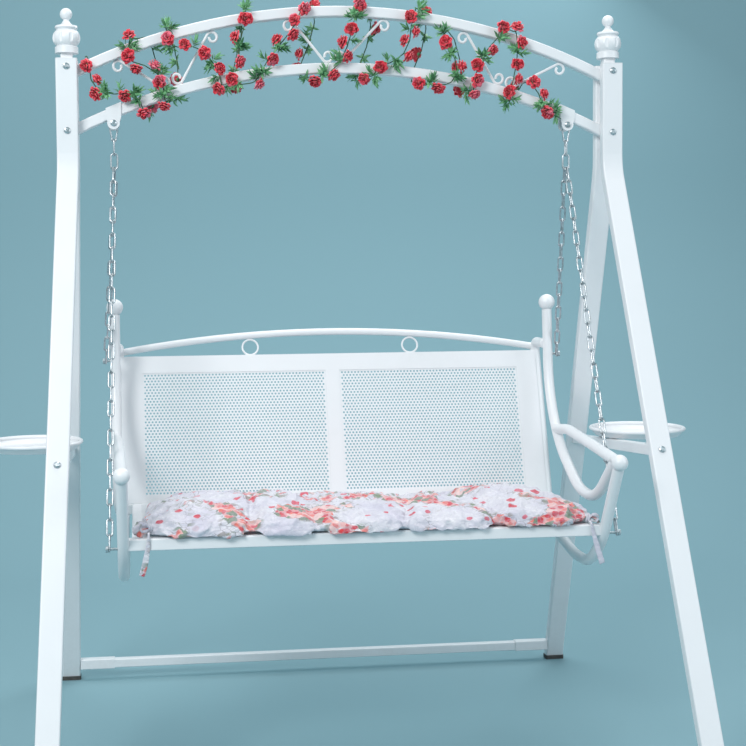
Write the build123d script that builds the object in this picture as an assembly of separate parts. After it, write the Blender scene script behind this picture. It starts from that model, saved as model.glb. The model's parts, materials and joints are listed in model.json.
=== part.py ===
from build123d import *
from math import asin, atan2, copysign, cos, hypot, pi, radians, sin, sqrt, tan
import os

os.makedirs("parts", exist_ok=True)

# A garden swing for two on an A-frame stand, in millimetres.
# The seat hangs on galvanised chains under a double arch with scrolls.
# X runs along the seat, Y from the front to the back, Z up from the floor.

# Shared clearances
seat_gap = 0.3
overrun = 60.0
sides_share = (-1, 1)

# Stand legs
leg_width = 50.0
leg_depth = 25.0
leg_wall = 1.5
leg_corner = 4.0
leg_top_drop = 18.0
leg_bend_drop = 56.0
leg_bend_radius = 170.0
leg_splay_share = 0.4077
leg_lean_share = 0.0323
foot_height = 11.0
foot_rim = 1.5
foot_spigot_length = 26.0
cap_height = 3.0
cap_spigot_length = 16.0
plug_clearance = 0.25

# End posts between the legs
post_x = 653.5
post_size = 28.0
post_wall = 1.5
post_corner = 3.0
post_top_rise = 44.8
post_bottom_drop = 33.2

# Finials on the end posts
finial_collar_radius = 27.0
finial_collar_height = 14.0
finial_groove_height = 3.0
finial_waist_radius = 23.0
finial_bulb_radius = 32.0
finial_bulb_height = 37.0
finial_lip_radius = 27.0
finial_lip_height = 12.0
finial_neck_radius = 15.0
finial_neck_height = 12.0
finial_ball_radius = 14.3
flute_count = 8
flute_radius = 6.0
flute_depth = 3.0

# Arch beams
beam_size = 25.0
beam_wall = 1.5
beam_corner = 3.0
arch_radius = 1440.0
upper_apex_z = 1757.0
beam_spacing = 134.0

# Scrolls between the beams
rod_radius = 3.25
curl_radius = 12.0
inner_curl_radius = 8.5
outer_curl_turn = 185.0
inner_curl_turn = 160.0
scroll_lower_x = (-428.0, -396.0, -40.0, -8.0, 378.0, 410.0)
scroll_upper_x = (-534.0, -315.0, -131.0, 97.0, 293.0, 530.0)

# Hanger brackets, bolts and pear shaped loops
hanger_x = 547.5
hanger_drop = 24.86
bracket_width = 36.0
bracket_thickness = 3.0
bracket_ear_radius = 14.5
hanger_bolt_radius = 3.0
loop_wire_radius = 2.25
loop_top_radius = 10.5
loop_bottom_radius = 5.0
loop_drop = 41.5

# Fasteners
bolt_head_radius = 8.0
bolt_head_height = 4.0
nut_radius = 6.5
nut_height = 5.5
shank_radius = 3.0
leg_bolt_inset = 16.0
leg_bolt_rise = 30.0

# Chains
chain_wire_radius = 2.1
link_half_width = 5.9
link_corner = 3.4
wide_link_half_width = 7.6
strand_offset = 2.35
strand_rise = 0.7
front_link_count = 27
rear_link_count = 15

# Seat frame
rail_size = 25.0
rail_wall = 1.5
rail_corner = 2.5
seat_top_z = 565.0
front_rail_y = -308.0
rear_rail_y = 147.0
side_rail_x = 506.0
mesh_thickness = 1.2
back_mesh_thickness = 1.5
mesh_rim = 3.0

# Side frames: bent round tubes
side_tube_radius = 12.5
side_tube_wall = 1.5
outer_tube_x = 555.0
side_inset = 18.0
ball_radius = 18.0
cap_ball_radius = 20.7
s_route = ((183.0, 1035.0), (163.7, 815.0), (64.0, 690.0), (-105.0, 612.0), (-246.0, 610.0), (-392.0, 721.0))
s_inset_shares = (0, 0, 0, 0.4, 0.75, 1)
s_radii = (300.0, 250.0, 250.0, 200.0)
arm_route = ((98.3, 733.0), (-5.0, 744.5), (-150.0, 737.0), (-404.0, 718.2))
arm_inset_shares = (0, 0.2, 0.6, 1)
arm_radii = (300.0, 400.0)
arm_front_y = -200.0
post_route = ((-408.0, 706.5), (-302.0, 524.0), (-214.0, 456.0), (-102.0, 456.0), (30.0, 481.0), (150.0, 543.0))
post_radii = (250.0, 150.0, 250.0, 160.0)
front_anchor_z = 545.0
anchor_reach = 17.0
rear_anchor_reach = 10.5
anchor_nut_radius = 7.0

# Seat back
back_foot_y = 138.0
back_lean = 16.9
back_height = 377.0
back_half_width = 542.0
panel_thickness = 1.5
window_outer_x = 488.5
window_inner_x = 18.0
window_bottom = 19.0
window_margin = 44.0
upright_x = 547.0
upright_crown = 27.0
upright_bend_radius = 20.0
back_arch_radius = 9.0
back_arch_wall = 1.2
back_arch_rise = 49.0
back_arch_foot = 13.0
ring_x = 210.0
ring_wire_radius = 2.5

# Side trays and their bars
tray_x = 752.0
tray_y = 57.0
tray_radius = 119.0
tray_rim_radius = 4.5
tray_top_z = 740.0
tray_depth = 21.0
tray_wall = 1.5
tray_corner = 12.0
tray_bar_size = 25.0
tray_bar_front_z = 725.0
tray_bar_rear_z = 680.0
tray_bar_wall = 1.5
tray_post_radius = 9.0
tray_post_spread = 40.0

# Rear tie bar
tie_size = 28.0
tie_z = 45.5
tie_wall = 1.5
tie_stub_length = 95.0
tie_sleeve = 2.0

# Seat cushion and its ties
cushion_end_room = 54.0
cushion_depth = 447.0
cushion_crown = 55.0
cushion_edge = 30.0
cushion_x = 11.0
cushion_y = -98.5
cushion_lift = 0.5
channel_depth = 20.0
channel_width = 34.0
cushion_corner = 48.0
cushion_shares = (-0.5, -0.3, -0.157, 0.02, 0.195, 0.5)
tie_strap_width = 15.0
tie_strap_thickness = 2.0
tie_strap_length = 105.0

# Garland wound round the arch
vine_radius = 1.3
vine_depth = 17.6
vine_bend_radius = 12.0
vine_over_share = 0.58
vine_face_share = 0.85
rose_radius = 17.0
rose_height = 22.0
rose_base_radius = 4.0
rose_sides = 6
leaf_length = 30.0
leaf_width = 17.0
leaf_thickness = 1.0

# Stations of the garland: share of the half span, level between the beams, side (front is minus one)
vine_shares = (
    (-0.955, 1.16, -0.7), (-0.94, 0.97, -1.0), (-0.935, 0.72, -1.0), (-0.905, 0.45, -1.0),
    (-0.85, 0.30, -1.05), (-0.79, 0.22, -1.0), (-0.757, 0.0, -1.0), (-0.742, -0.14, -0.5),
    (-0.717, -0.14, 0.6), (-0.70, 0.1, 1.0), (-0.69, 0.5, 1.05), (-0.71, 0.88, 1.0),
    (-0.75, 1.13, 0.7), (-0.785, 1.15, -0.4), (-0.80, 0.97, -1.0), (-0.79, 0.76, -1.0),
    (-0.74, 0.60, -1.05), (-0.692, 0.38, -1.0), (-0.672, 0.08, -1.0), (-0.662, -0.14, -0.6),
    (-0.638, -0.14, 0.6), (-0.615, 0.15, 1.0), (-0.62, 0.55, 1.05), (-0.637, 0.92, 1.0),
    (-0.652, 1.14, 0.5), (-0.662, 1.12, -0.7), (-0.655, 0.88, -1.0), (-0.62, 0.74, -1.05),
    (-0.57, 0.70, -1.0), (-0.52, 0.55, -1.0), (-0.488, 0.3, -1.05), (-0.465, 0.05, -1.0),
    (-0.452, -0.13, -0.6), (-0.427, -0.13, 0.6), (-0.40, 0.2, 1.0), (-0.385, 0.6, 1.05),
    (-0.376, 0.98, 1.0), (-0.370, 1.14, 0.5), (-0.366, 1.13, -0.6), (-0.372, 0.88, -1.0),
    (-0.39, 0.6, -1.05), (-0.407, 0.3, -1.0), (-0.42, 0.02, -1.0), (-0.405, -0.14, -0.7),
    (-0.36, -0.15, -0.6), (-0.32, -0.05, -1.0), (-0.295, 0.15, -1.0), (-0.262, 0.35, -1.05),
    (-0.22, 0.57, -1.0), (-0.182, 0.8, -1.05), (-0.165, 1.0, -1.0), (-0.15, 1.14, -0.5),
    (-0.122, 1.13, 0.6), (-0.105, 0.85, 1.0), (-0.125, 0.5, 1.05), (-0.16, 0.1, 1.0),
    (-0.165, -0.13, 0.5), (-0.128, -0.15, -0.6), (-0.065, -0.13, -0.9), (-0.02, 0.08, -1.0),
    (0.008, 0.35, -1.05), (0.028, 0.65, -1.0), (0.042, 0.95, -1.0), (0.058, 1.14, -0.5),
    (0.088, 1.13, 0.6), (0.108, 0.8, 1.0), (0.092, 0.42, 1.05), (0.062, 0.06, 1.0),
    (0.052, -0.14, 0.4), (0.080, -0.14, -0.7), (0.128, 0.02, -1.0), (0.175, 0.13, -1.05),
    (0.222, 0.3, -1.0), (0.246, 0.55, -1.05), (0.252, 0.8, -1.0), (0.262, 1.0, -1.0),
    (0.28, 1.14, -0.5), (0.308, 1.13, 0.6), (0.32, 0.85, 1.0), (0.302, 0.45, 1.05),
    (0.268, 0.06, 1.0), (0.258, -0.14, 0.4), (0.295, -0.16, -0.6), (0.355, -0.14, -0.75),
    (0.405, -0.07, -1.0), (0.427, 0.12, -1.0), (0.418, 0.36, -1.05), (0.390, 0.56, -1.0),
    (0.376, 0.76, -0.8), (0.398, 0.86, 0.0), (0.428, 0.75, 0.8), (0.448, 0.45, 1.0),
    (0.46, 0.1, 1.0), (0.468, -0.14, 0.5), (0.482, -0.13, -0.6), (0.496, 0.08, -1.0),
    (0.508, 0.36, -1.05), (0.532, 0.58, -1.0), (0.556, 0.74, -1.0), (0.585, 0.93, -1.0),
    (0.602, 1.13, -0.6), (0.622, 1.17, 0.2), (0.648, 1.13, -0.6), (0.660, 0.93, -1.0),
    (0.657, 0.6, -1.05), (0.645, 0.3, -1.0), (0.635, 0.02, -1.0), (0.628, -0.14, -0.6),
    (0.648, -0.14, 0.6), (0.672, 0.08, 1.0), (0.692, 0.3, 0.5), (0.714, 0.32, -0.6),
    (0.742, 0.16, -1.0), (0.757, -0.04, -1.05), (0.785, -0.1, -1.15), (0.820, -0.05, -1.1),
)

# Roses and leaves: share of the vine's length, roll about the vine in degrees
rose_stations = (
    (0.0069, 40), (0.0167, -80), (0.0226, 60), (0.0373, 40), (0.053, 40), (0.0638, 20), (0.1178, 40),
    (0.1276, 20), (0.1345, 80), (0.1433, -80), (0.1521, 20), (0.1639, 60), (0.1865, 20), (0.2306, 0),
    (0.2424, -20), (0.2551, 20), (0.2669, -40), (0.2767, 60), (0.2885, -60), (0.3444, 0), (0.3562, 80),
    (0.369, -60), (0.3797, 20), (0.3964, 80), (0.4121, 40), (0.4229, -80), (0.4308, 60), (0.4386, -40),
    (0.4465, 40), (0.4602, 60), (0.4896, -80), (0.4975, -20), (0.5151, 60), (0.525, 60), (0.5377, 60),
    (0.5446, -80), (0.5534, -20), (0.5681, 20), (0.5917, 80), (0.6309, 40), (0.6417, 0), (0.6584, 80),
    (0.6653, -80), (0.6721, 80), (0.68, -40), (0.6967, 60), (0.7212, -40), (0.7467, 20), (0.7575, 60),
    (0.7751, 80), (0.7908, -20), (0.8242, -80), (0.8379, -40), (0.8478, 60), (0.8536, 20),
    (0.8625, -20), (0.8752, 60), (0.889, 20), (0.9027, -40), (0.9096, -40), (0.9223, 0), (0.9302, -80),
    (0.939, 40), (0.9635, 60), (0.9743, -20), (0.9822, -60), (0.993, 40),
)
leaf_stations = (
    (0.0255, -60), (0.0265, -20), (0.0275, 20), (0.035, -80), (0.0422, -40), (0.0432, -80), (0.0432, 0),
    (0.0475, 20), (0.06, -60), (0.0725, 20), (0.085, 20), (0.0854, -60), (0.0864, -20), (0.0975, -60),
    (0.11, 20), (0.1207, -40), (0.1227, -80), (0.1227, 80), (0.1482, -60), (0.157, -60), (0.158, -20),
    (0.16, 20), (0.16, 80), (0.1619, -80), (0.1725, 20), (0.1757, -60), (0.1766, -20), (0.1975, 20),
    (0.2061, 80), (0.21, 20), (0.2169, -80), (0.2225, -20), (0.2228, 40), (0.2247, 0), (0.2336, 80),
    (0.2365, 60), (0.2475, -60), (0.261, -60), (0.262, 40), (0.264, 80), (0.2708, 80), (0.2787, 20),
    (0.285, -20), (0.2914, 80), (0.2924, 40), (0.2975, 20), (0.31, 20), (0.313, 0), (0.3225, 20),
    (0.3317, 60), (0.3385, 60), (0.3395, 20), (0.3591, -40), (0.36, -80), (0.3601, 0), (0.385, 20),
    (0.3975, -60), (0.4013, -40), (0.4023, 0), (0.4033, 40), (0.41, -80), (0.419, 0), (0.421, 40),
    (0.4219, 80), (0.46, -80), (0.4725, -20), (0.4769, -60), (0.4798, -40), (0.4808, -80), (0.485, 20),
    (0.51, 20), (0.5191, 0), (0.52, -40), (0.523, -80), (0.5328, -60), (0.5338, -20), (0.5367, -80),
    (0.5475, 60), (0.56, -60), (0.5613, 20), (0.5622, -20), (0.5622, 60), (0.5725, -60), (0.585, 20),
    (0.5975, 20), (0.61, 20), (0.6191, -80), (0.6211, -20), (0.6221, -60), (0.6225, 20), (0.6339, -60),
    (0.6348, 80), (0.6358, 40), (0.6475, -60), (0.6496, 80), (0.6515, 20), (0.6525, 60), (0.6731, -60),
    (0.6819, 80), (0.6859, 20), (0.6878, -60), (0.6878, 20), (0.7025, -80), (0.71, 20), (0.7516, 0),
    (0.7526, -40), (0.7545, -80), (0.7693, 20), (0.7702, -20), (0.7702, 60), (0.783, -40), (0.784, -80),
    (0.784, 0), (0.7958, -40), (0.7967, -80), (0.7967, -20), (0.8399, -60), (0.8409, -20), (0.8458, 0),
    (0.8674, 60), (0.8684, -40), (0.8693, 0), (0.8831, 20), (0.8841, 80), (0.8958, 0), (0.9125, 60),
    (0.9145, 20), (0.9155, -80), (0.9429, -40), (0.9439, 40), (0.9449, -80), (0.9449, 0), (0.9576, 80),
    (0.9586, 20), (0.9871, 20), (0.9881, 60), (0.991, -80), (0.9969, -60), (0.9979, -20), (0.9979, 60),
)


def ring_section(width, depth, wall, corner):
    """Section of a rectangular tube."""
    outer = RectangleRounded(width, depth, corner)
    inner = RectangleRounded(width - 2 * wall, depth - 2 * wall, corner - wall)
    return outer - inner


def square_tube(start, end, size, wall, corner, across=(1, 0, 0)):
    """Straight square tube from one point to another."""
    run = Vector(*end) - Vector(*start)
    plane = Plane(origin=start, x_dir=across, z_dir=run.normalized())
    return extrude(plane * ring_section(size, size, wall, corner), amount=run.length)


def bent_tube(points, radii, radius, wall):
    """Round tube along straight runs joined by arcs."""
    path = FilletPolyline(*points, radius=radii)
    start = Plane(origin=path @ 0, z_dir=path % 0)
    return sweep(start * (Circle(radius) - Circle(radius - wall)), path=path)


def bent_bar(points, radii, radius):
    """Solid round bar of the same form, used to cut coped ends."""
    path = FilletPolyline(*points, radius=radii)
    start = Plane(origin=path @ 0, z_dir=path % 0)
    return sweep(start * Circle(radius), path=path)


def bar_between(start, end, radius):
    """Round bar from one point to another."""
    run = Vector(*end) - Vector(*start)
    plane = Plane(origin=start, z_dir=run.normalized())
    return extrude(plane * Circle(radius), amount=run.length)


def bolt_head(point, outward):
    """Domed bolt head standing on a face."""
    base = Plane(origin=point, z_dir=outward)
    profile = Polyline(
        (0, 0), (bolt_head_radius, 0), (bolt_head_radius * 0.92, bolt_head_height * 0.6),
        (bolt_head_radius * 0.5, bolt_head_height), (0, bolt_head_height))
    dome = revolve(Plane.XZ * make_face([*profile.edges(), Line((0, bolt_head_height), (0, 0))]), Axis.Z)
    return base * dome


def hex_nut(point, outward):
    """Hexagon nut standing on a face."""
    base = Plane(origin=point, z_dir=outward)
    return extrude(base * RegularPolygon(nut_radius, 6), amount=nut_height)


def mirrored(point, side):
    """Point on the left or the right side."""
    return (side * point[0], point[1], point[2])


def side_points(route, x, side):
    """Route in a side plane as points in space."""
    return [(side * x, y, z) for y, z in route]


def save(name, *solids):
    """Write one sub-part, keeping its solids apart."""
    pieces = []
    for solid in solids:
        pieces.extend(solid.solids())
    export_step(pieces[0] if len(pieces) == 1 else Compound(children=pieces), f"parts/{name}.step")


def upper_z(x):
    """Centreline height of the upper beam."""
    return upper_apex_z - arch_radius + sqrt(arch_radius ** 2 - x ** 2)


def lower_z(x):
    """Centreline height of the lower beam."""
    return upper_z(x) - beam_spacing


def beam_slope(x):
    """Rise of the beams per unit along X."""
    return -x / sqrt(arch_radius ** 2 - x ** 2)


# Heights that follow from the arch
beam_end_x = post_x - post_size / 2
post_top_z = upper_z(beam_end_x) + post_top_rise
post_bottom_z = lower_z(beam_end_x) - post_bottom_drop
leg_top_z = post_top_z - leg_top_drop
leg_bend_z = post_bottom_z - leg_bend_drop
leg_bolt_upper_z = leg_top_z - leg_bolt_inset
leg_bolt_lower_z = post_bottom_z + leg_bolt_rise
hanger_bolt_z = lower_z(hanger_x) - hanger_drop
loop_bottom_z = hanger_bolt_z - loop_drop


# Stand legs with their caps and feet
leg_centre_y = (post_size + leg_depth) / 2


def leg_axis(side, face, z):
    """Point on a leg's centreline at a height."""
    drop = max(leg_bend_z - z, 0)
    return (side * (post_x + drop * leg_lean_share), face * (leg_centre_y + drop * leg_splay_share), z)


def leg(side, face):
    points = (leg_axis(side, face, leg_top_z), leg_axis(side, face, leg_bend_z), leg_axis(side, face, -overrun))
    path = FilletPolyline(*points, radius=leg_bend_radius)
    section = Plane(origin=points[0], x_dir=(1, 0, 0), z_dir=(0, 0, -1))
    tube = sweep(section * ring_section(leg_width, leg_depth, leg_wall, leg_corner), path=path)
    floor_cut = Pos(points[2][0], points[2][1], foot_height) * Box(
        4 * leg_width, 4 * leg_width, 4 * overrun, align=(Align.CENTER, Align.CENTER, Align.MAX))
    return tube - floor_cut


def leg_plug(side, face, start_z, length, direction):
    """Spigot of a cap or a foot inside a leg."""
    fit = 2 * (leg_wall + plug_clearance)
    plane = Plane(origin=leg_axis(side, face, start_z), x_dir=(1, 0, 0), z_dir=direction)
    shape = RectangleRounded(leg_width - fit, leg_depth - fit, leg_corner - leg_wall)
    return extrude(plane * shape, amount=length)


def foot(side, face):
    centre = leg_axis(side, face, foot_height)
    long_y = leg_depth * sqrt(1 + leg_splay_share ** 2)
    pad = Pos(centre[0], centre[1], 0) * extrude(
        RectangleRounded(leg_width + 2 * foot_rim, long_y + 2 * foot_rim, leg_corner), amount=foot_height)
    up = Vector(*leg_axis(side, face, foot_height + foot_spigot_length)) - Vector(*centre)
    spigot = leg_plug(side, face, foot_height / 2, foot_spigot_length, up.normalized())
    below = Pos(centre[0], centre[1], 0) * Box(
        4 * leg_width, 4 * leg_width, overrun, align=(Align.CENTER, Align.CENTER, Align.MAX))
    return pad + (spigot - below)


def leg_cap(side, face):
    centre = leg_axis(side, face, leg_top_z)
    lid = Pos(*centre) * extrude(RectangleRounded(leg_width, leg_depth, leg_corner), amount=cap_height)
    return lid + leg_plug(side, face, leg_top_z, cap_spigot_length, (0, 0, -1))


for side, hand in ((-1, "left"), (1, "right")):
    for face, place in ((-1, "front"), (1, "rear")):
        save(f"{place}_leg_{hand}", leg(side, face))
save("rubber_feet", *[foot(side, face) for side in sides_share for face in sides_share])
save("leg_top_caps", *[leg_cap(side, face) for side in sides_share for face in sides_share])


# End posts and finials
def end_post(side):
    return square_tube((side * post_x, 0, post_bottom_z), (side * post_x, 0, post_top_z),
                       post_size, post_wall, post_corner)


def finial(side):
    """Turned tulip finial with flutes, a flared lip and a ball."""
    collar_top = finial_collar_height
    bulb_bottom = collar_top + finial_groove_height
    bulb_top = bulb_bottom + finial_bulb_height
    lip_top = bulb_top + finial_lip_height
    neck_top = lip_top + finial_neck_height
    ball_z = neck_top + finial_ball_radius * 0.9
    outline = [
        Line((0, 0), (finial_collar_radius, 0)),
        Line((finial_collar_radius, 0), (finial_collar_radius, collar_top)),
        Line((finial_collar_radius, collar_top), (finial_waist_radius, bulb_bottom)),
        ThreePointArc((finial_waist_radius, bulb_bottom),
                      (finial_bulb_radius, bulb_bottom + finial_bulb_height * 0.45),
                      (finial_waist_radius, bulb_top)),
        Line((finial_waist_radius, bulb_top), (finial_lip_radius, bulb_top + finial_lip_height * 0.4)),
        Line((finial_lip_radius, bulb_top + finial_lip_height * 0.4),
             (finial_lip_radius * 0.93, bulb_top + finial_lip_height * 0.8)),
        Line((finial_lip_radius * 0.93, bulb_top + finial_lip_height * 0.8), (finial_neck_radius, lip_top)),
        ThreePointArc((finial_neck_radius, lip_top),
                      (finial_neck_radius * 0.6, lip_top + finial_neck_height * 0.55),
                      (finial_ball_radius * 0.44, neck_top)),
        Line((finial_ball_radius * 0.44, neck_top), (0, neck_top)),
        Line((0, neck_top), (0, 0)),
    ]
    body = revolve(Plane.XZ * make_face(outline), Axis.Z)
    flute = Cylinder(flute_radius, finial_bulb_height, align=(Align.CENTER, Align.CENTER, Align.MIN))
    flute_centre = finial_bulb_radius + flute_radius - flute_depth
    for index in range(flute_count):
        angle = 2 * pi * (index + 0.5) / flute_count
        body -= Pos(flute_centre * cos(angle), flute_centre * sin(angle), bulb_bottom) * flute
    body += Pos(0, 0, ball_z) * Sphere(finial_ball_radius)
    return Pos(side * post_x, 0, post_top_z) * body


for side, hand in ((-1, "left"), (1, "right")):
    save(f"end_post_{hand}", end_post(side))
    save(f"finial_{hand}", finial(side))


# Arch beams
def beam(apex_z):
    far_x = beam_end_x + beam_size
    far_z = apex_z - upper_apex_z + upper_z(far_x)
    path = ThreePointArc((-far_x, 0, far_z), (0, 0, apex_z), (far_x, 0, far_z))
    section = Plane(origin=path @ 0, x_dir=(0, 1, 0), z_dir=path % 0)
    tube = sweep(section * ring_section(beam_size, beam_size, beam_wall, beam_corner), path=path)
    keep = Pos(0, 0, apex_z) * Box(2 * beam_end_x, 2 * beam_size, arch_radius)
    return tube & keep


save("upper_beam", beam(upper_apex_z))
save("lower_beam", beam(upper_apex_z - beam_spacing))


# Scrolls between the beams
def curl_centre(x, beam_z, direction):
    """Centre of a curl that rests on a beam, above it or below it."""
    away = beam_size / 2 + rod_radius + curl_radius + seat_gap / 2
    return Vector(x, 0, beam_z(x) + direction * away * sqrt(1 + beam_slope(x) ** 2))


def scroll(index):
    """One rod with a curl at both ends, bent from a single bar."""
    low = curl_centre(scroll_lower_x[index], lower_z, 1)
    high = curl_centre(scroll_upper_x[index], upper_z, -1)
    turn = 1 if high.X > low.X else -1
    between = high - low
    tilt = asin(2 * curl_radius / between.length)
    heading = atan2(between.Z, between.X) + turn * tilt
    run = Vector(cos(heading), 0, sin(heading))
    normal = Vector(turn * sin(heading), 0, -turn * cos(heading))
    start = low + normal * curl_radius
    end = high - normal * curl_radius
    plane = Plane.XZ
    flat = [(point.X, point.Z) for point in (start, end)]
    shaft = Line(flat[0], flat[1])
    outer_top = JernArc(flat[1], (run.X, run.Z), curl_radius, -turn * outer_curl_turn)
    inner_top = JernArc(outer_top @ 1, outer_top % 1, inner_curl_radius, -turn * inner_curl_turn)
    outer_low = JernArc(flat[0], (-run.X, -run.Z), curl_radius, -turn * outer_curl_turn)
    inner_low = JernArc(outer_low @ 1, outer_low % 1, inner_curl_radius, -turn * inner_curl_turn)
    pieces = [plane * curve for curve in (inner_low, outer_low, shaft, outer_top, inner_top)]
    path = Wire([edge for piece in pieces for edge in piece.edges()])
    section = Plane(origin=path @ 0, z_dir=path % 0)
    return sweep(section * Circle(rod_radius), path=path)


save("scroll_rods_left", scroll(0), scroll(1))
save("scroll_rods_middle", scroll(2), scroll(3))
save("scroll_rods_right", scroll(4), scroll(5))


# Hangers under the lower beam
def hanger_bracket(side):
    """Folded strap over the lower beam with two rounded ears."""
    x = side * hanger_x
    slope = beam_slope(x)
    rise = slope * bracket_width / 2
    lift = (beam_size / 2 + seat_gap) * sqrt(1 + slope ** 2)
    skin = bracket_thickness * sqrt(1 + slope ** 2)
    left, right = x - bracket_width / 2, x + bracket_width / 2
    shoulder = hanger_bolt_z + bracket_ear_radius * 0.3

    def outline(top):
        plate = make_face(Polyline(
            (left, lower_z(x) - rise + top), (right, lower_z(x) + rise + top),
            (right, shoulder + bracket_ear_radius * 0.7), (x + bracket_ear_radius, shoulder),
            (x - bracket_ear_radius, shoulder), (left, shoulder + bracket_ear_radius * 0.7), close=True))
        return Plane.XZ * (plate + Pos(x, hanger_bolt_z) * Circle(bracket_ear_radius))

    inner_half = beam_size / 2 + seat_gap
    body = extrude(outline(lift + skin), amount=inner_half + bracket_thickness, both=True)
    body -= extrude(outline(lift), amount=inner_half, both=True)
    bolt = Pos(x, 0, hanger_bolt_z) * Rot(90, 0, 0) * Cylinder(hanger_bolt_radius + seat_gap / 2, 4 * beam_size)
    return body - bolt


def hanger_fixing(side):
    """Bolt through the ears with its head at the front and its nut behind."""
    outer = beam_size / 2 + seat_gap + bracket_thickness
    x = side * hanger_x
    shank = bar_between((x, -outer, hanger_bolt_z), (x, outer + nut_height, hanger_bolt_z), hanger_bolt_radius)
    nut = hex_nut((x, outer, hanger_bolt_z), (0, 1, 0))
    return [shank + bolt_head((x, -outer, hanger_bolt_z), (0, -1, 0)) + nut]


def pear_loop(side):
    """Pear shaped wire loop that hangs on the bolt."""
    top_z = hanger_bolt_z + hanger_bolt_radius + loop_wire_radius + seat_gap - loop_top_radius
    low_z = loop_bottom_z + loop_bottom_radius
    slant = asin((loop_top_radius - loop_bottom_radius) / (top_z - low_z))
    x = side * hanger_x

    def at(radius, z, sign):
        return (x + sign * radius * cos(slant), 0, z + radius * sin(slant))

    top_right, top_left = at(loop_top_radius, top_z, 1), at(loop_top_radius, top_z, -1)
    low_right, low_left = at(loop_bottom_radius, low_z, 1), at(loop_bottom_radius, low_z, -1)
    path = Wire([
        ThreePointArc(top_left, (x, 0, top_z + loop_top_radius), top_right).edge(),
        Line(top_right, low_right).edge(),
        ThreePointArc(low_right, (x, 0, loop_bottom_z), low_left).edge(),
        Line(low_left, top_left).edge(),
    ])
    section = Plane(origin=top_left, z_dir=path % 0)
    return sweep(section * Circle(loop_wire_radius), path=path)


for side, hand in ((-1, "left"), (1, "right")):
    save(f"hanger_bracket_{hand}", hanger_bracket(side))
    save(f"hanger_loop_{hand}", pear_loop(side))
save("hanger_bolts", *[piece for side in sides_share for piece in hanger_fixing(side)])


# Bolts through the legs and the end posts
def leg_bolts():
    outer_y = post_size / 2 + leg_depth
    pieces = []
    for side in sides_share:
        for z in (leg_bolt_upper_z, leg_bolt_lower_z):
            x = side * post_x
            pieces.append(bolt_head((x, -outer_y, z), (0, -1, 0)))
            pieces.append(hex_nut((x, outer_y, z), (0, 1, 0)))
    return pieces


save("leg_bolts", *leg_bolts())


# Side frames of the seat
inner_tube_x = outer_tube_x - side_inset


def drawn_in(route, shares, side):
    """Route that runs from the outer tube's side plane towards the front post's."""
    return [(side * (outer_tube_x - share * side_inset), y, z) for share, (y, z) in zip(shares, route)]


def first_run_y(route, z):
    """Place on a route's first run at a height."""
    (y1, z1), (y2, z2) = route[0], route[1]
    return y1 + (y2 - y1) * (z1 - z) / (z1 - z2)


def s_points(side):
    return drawn_in(s_route, s_inset_shares, side)


def arm_points(side):
    return drawn_in(arm_route, arm_inset_shares, side)


def s_bar(side, radius):
    return bent_bar(s_points(side), s_radii, radius)


def post_bar(side, radius):
    return bent_bar(side_points(post_route, inner_tube_x, side), post_radii, radius)


def arm_bar(side):
    """Front part of the armrest as a solid bar, used to cope what meets it there."""
    bar = bent_bar(arm_points(side), arm_radii, side_tube_radius + seat_gap / 2)
    length = 2 * abs(arm_route[-1][0])
    front = Pos(side * outer_tube_x, arm_front_y, arm_route[-1][1]) * Box(
        length, length, length, align=(Align.CENTER, Align.MAX, Align.CENTER))
    return bar & front


def s_tube(side):
    """Outer tube from the upper ball to the underside of the armrest behind the front post."""
    tube = bent_tube(s_points(side), s_radii, side_tube_radius, side_tube_wall)
    tube -= post_bar(side, side_tube_radius + seat_gap / 2)
    tube -= arm_bar(side)
    tube -= ball_cutter(side)
    return max(tube.solids(), key=lambda solid: solid.volume)


def arm_tube(side):
    """Armrest from the front of the outer tube to the ball on the front post."""
    arm = bent_tube(arm_points(1), arm_radii, side_tube_radius, side_tube_wall)
    arm -= s_bar(1, side_tube_radius + seat_gap / 2)
    arm -= ball_cutter(1)
    arm = max(arm.solids(), key=lambda solid: solid.volume)
    return arm if side > 0 else mirror(arm, about=Plane.YZ)


def ball_cutter(side):
    return Pos(*arm_ball_centre(side)) * Sphere(ball_radius + seat_gap / 2)


def arm_ball_centre(side):
    (y1, z1), (y2, z2) = arm_route[-2], arm_route[-1]
    length = hypot(y2 - y1, z2 - z1)
    reach = ball_radius * 0.6
    return (side * inner_tube_x, y2 + (y2 - y1) / length * reach, z2 + (z2 - z1) / length * reach)


def front_post(side):
    """Front post that curls under the seat to the rear rail."""
    points = side_points(post_route, inner_tube_x, side)
    tube = bent_tube(points, post_radii, side_tube_radius, side_tube_wall)
    above_rail = Pos(side * inner_tube_x, post_route[-1][0], seat_top_z - rail_size - seat_gap / 2) * Box(
        4 * side_tube_radius, 6 * side_tube_radius, overrun, align=(Align.CENTER, Align.CENTER, Align.MIN))
    return tube - arm_bar(side) - ball_cutter(side) - above_rail


def s_ball_centre(side):
    y, z = s_route[0]
    return (side * outer_tube_x, y, z + cap_ball_radius * 0.9)


def tube_balls():
    balls = []
    for side in sides_share:
        balls.append(Pos(*arm_ball_centre(side)) * Sphere(ball_radius))
        top = Pos(*s_ball_centre(side)) * Sphere(cap_ball_radius)
        balls.append(top - s_bar(side, side_tube_radius + seat_gap / 2))
    return balls


def side_bolts():
    """Bolts from behind the outer tubes into the ends of the armrests."""
    (y1, z1), (y2, z2) = s_route[1], s_route[2]
    run = hypot(y2 - y1, z2 - z1)
    out_y, out_z = (z1 - z2) / run, (y2 - y1) / run
    y, z = arm_route[0]
    return [bolt_head((side * outer_tube_x, y + out_y * side_tube_radius, z + out_z * side_tube_radius),
                      (0, out_y, out_z)) for side in sides_share]


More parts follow.
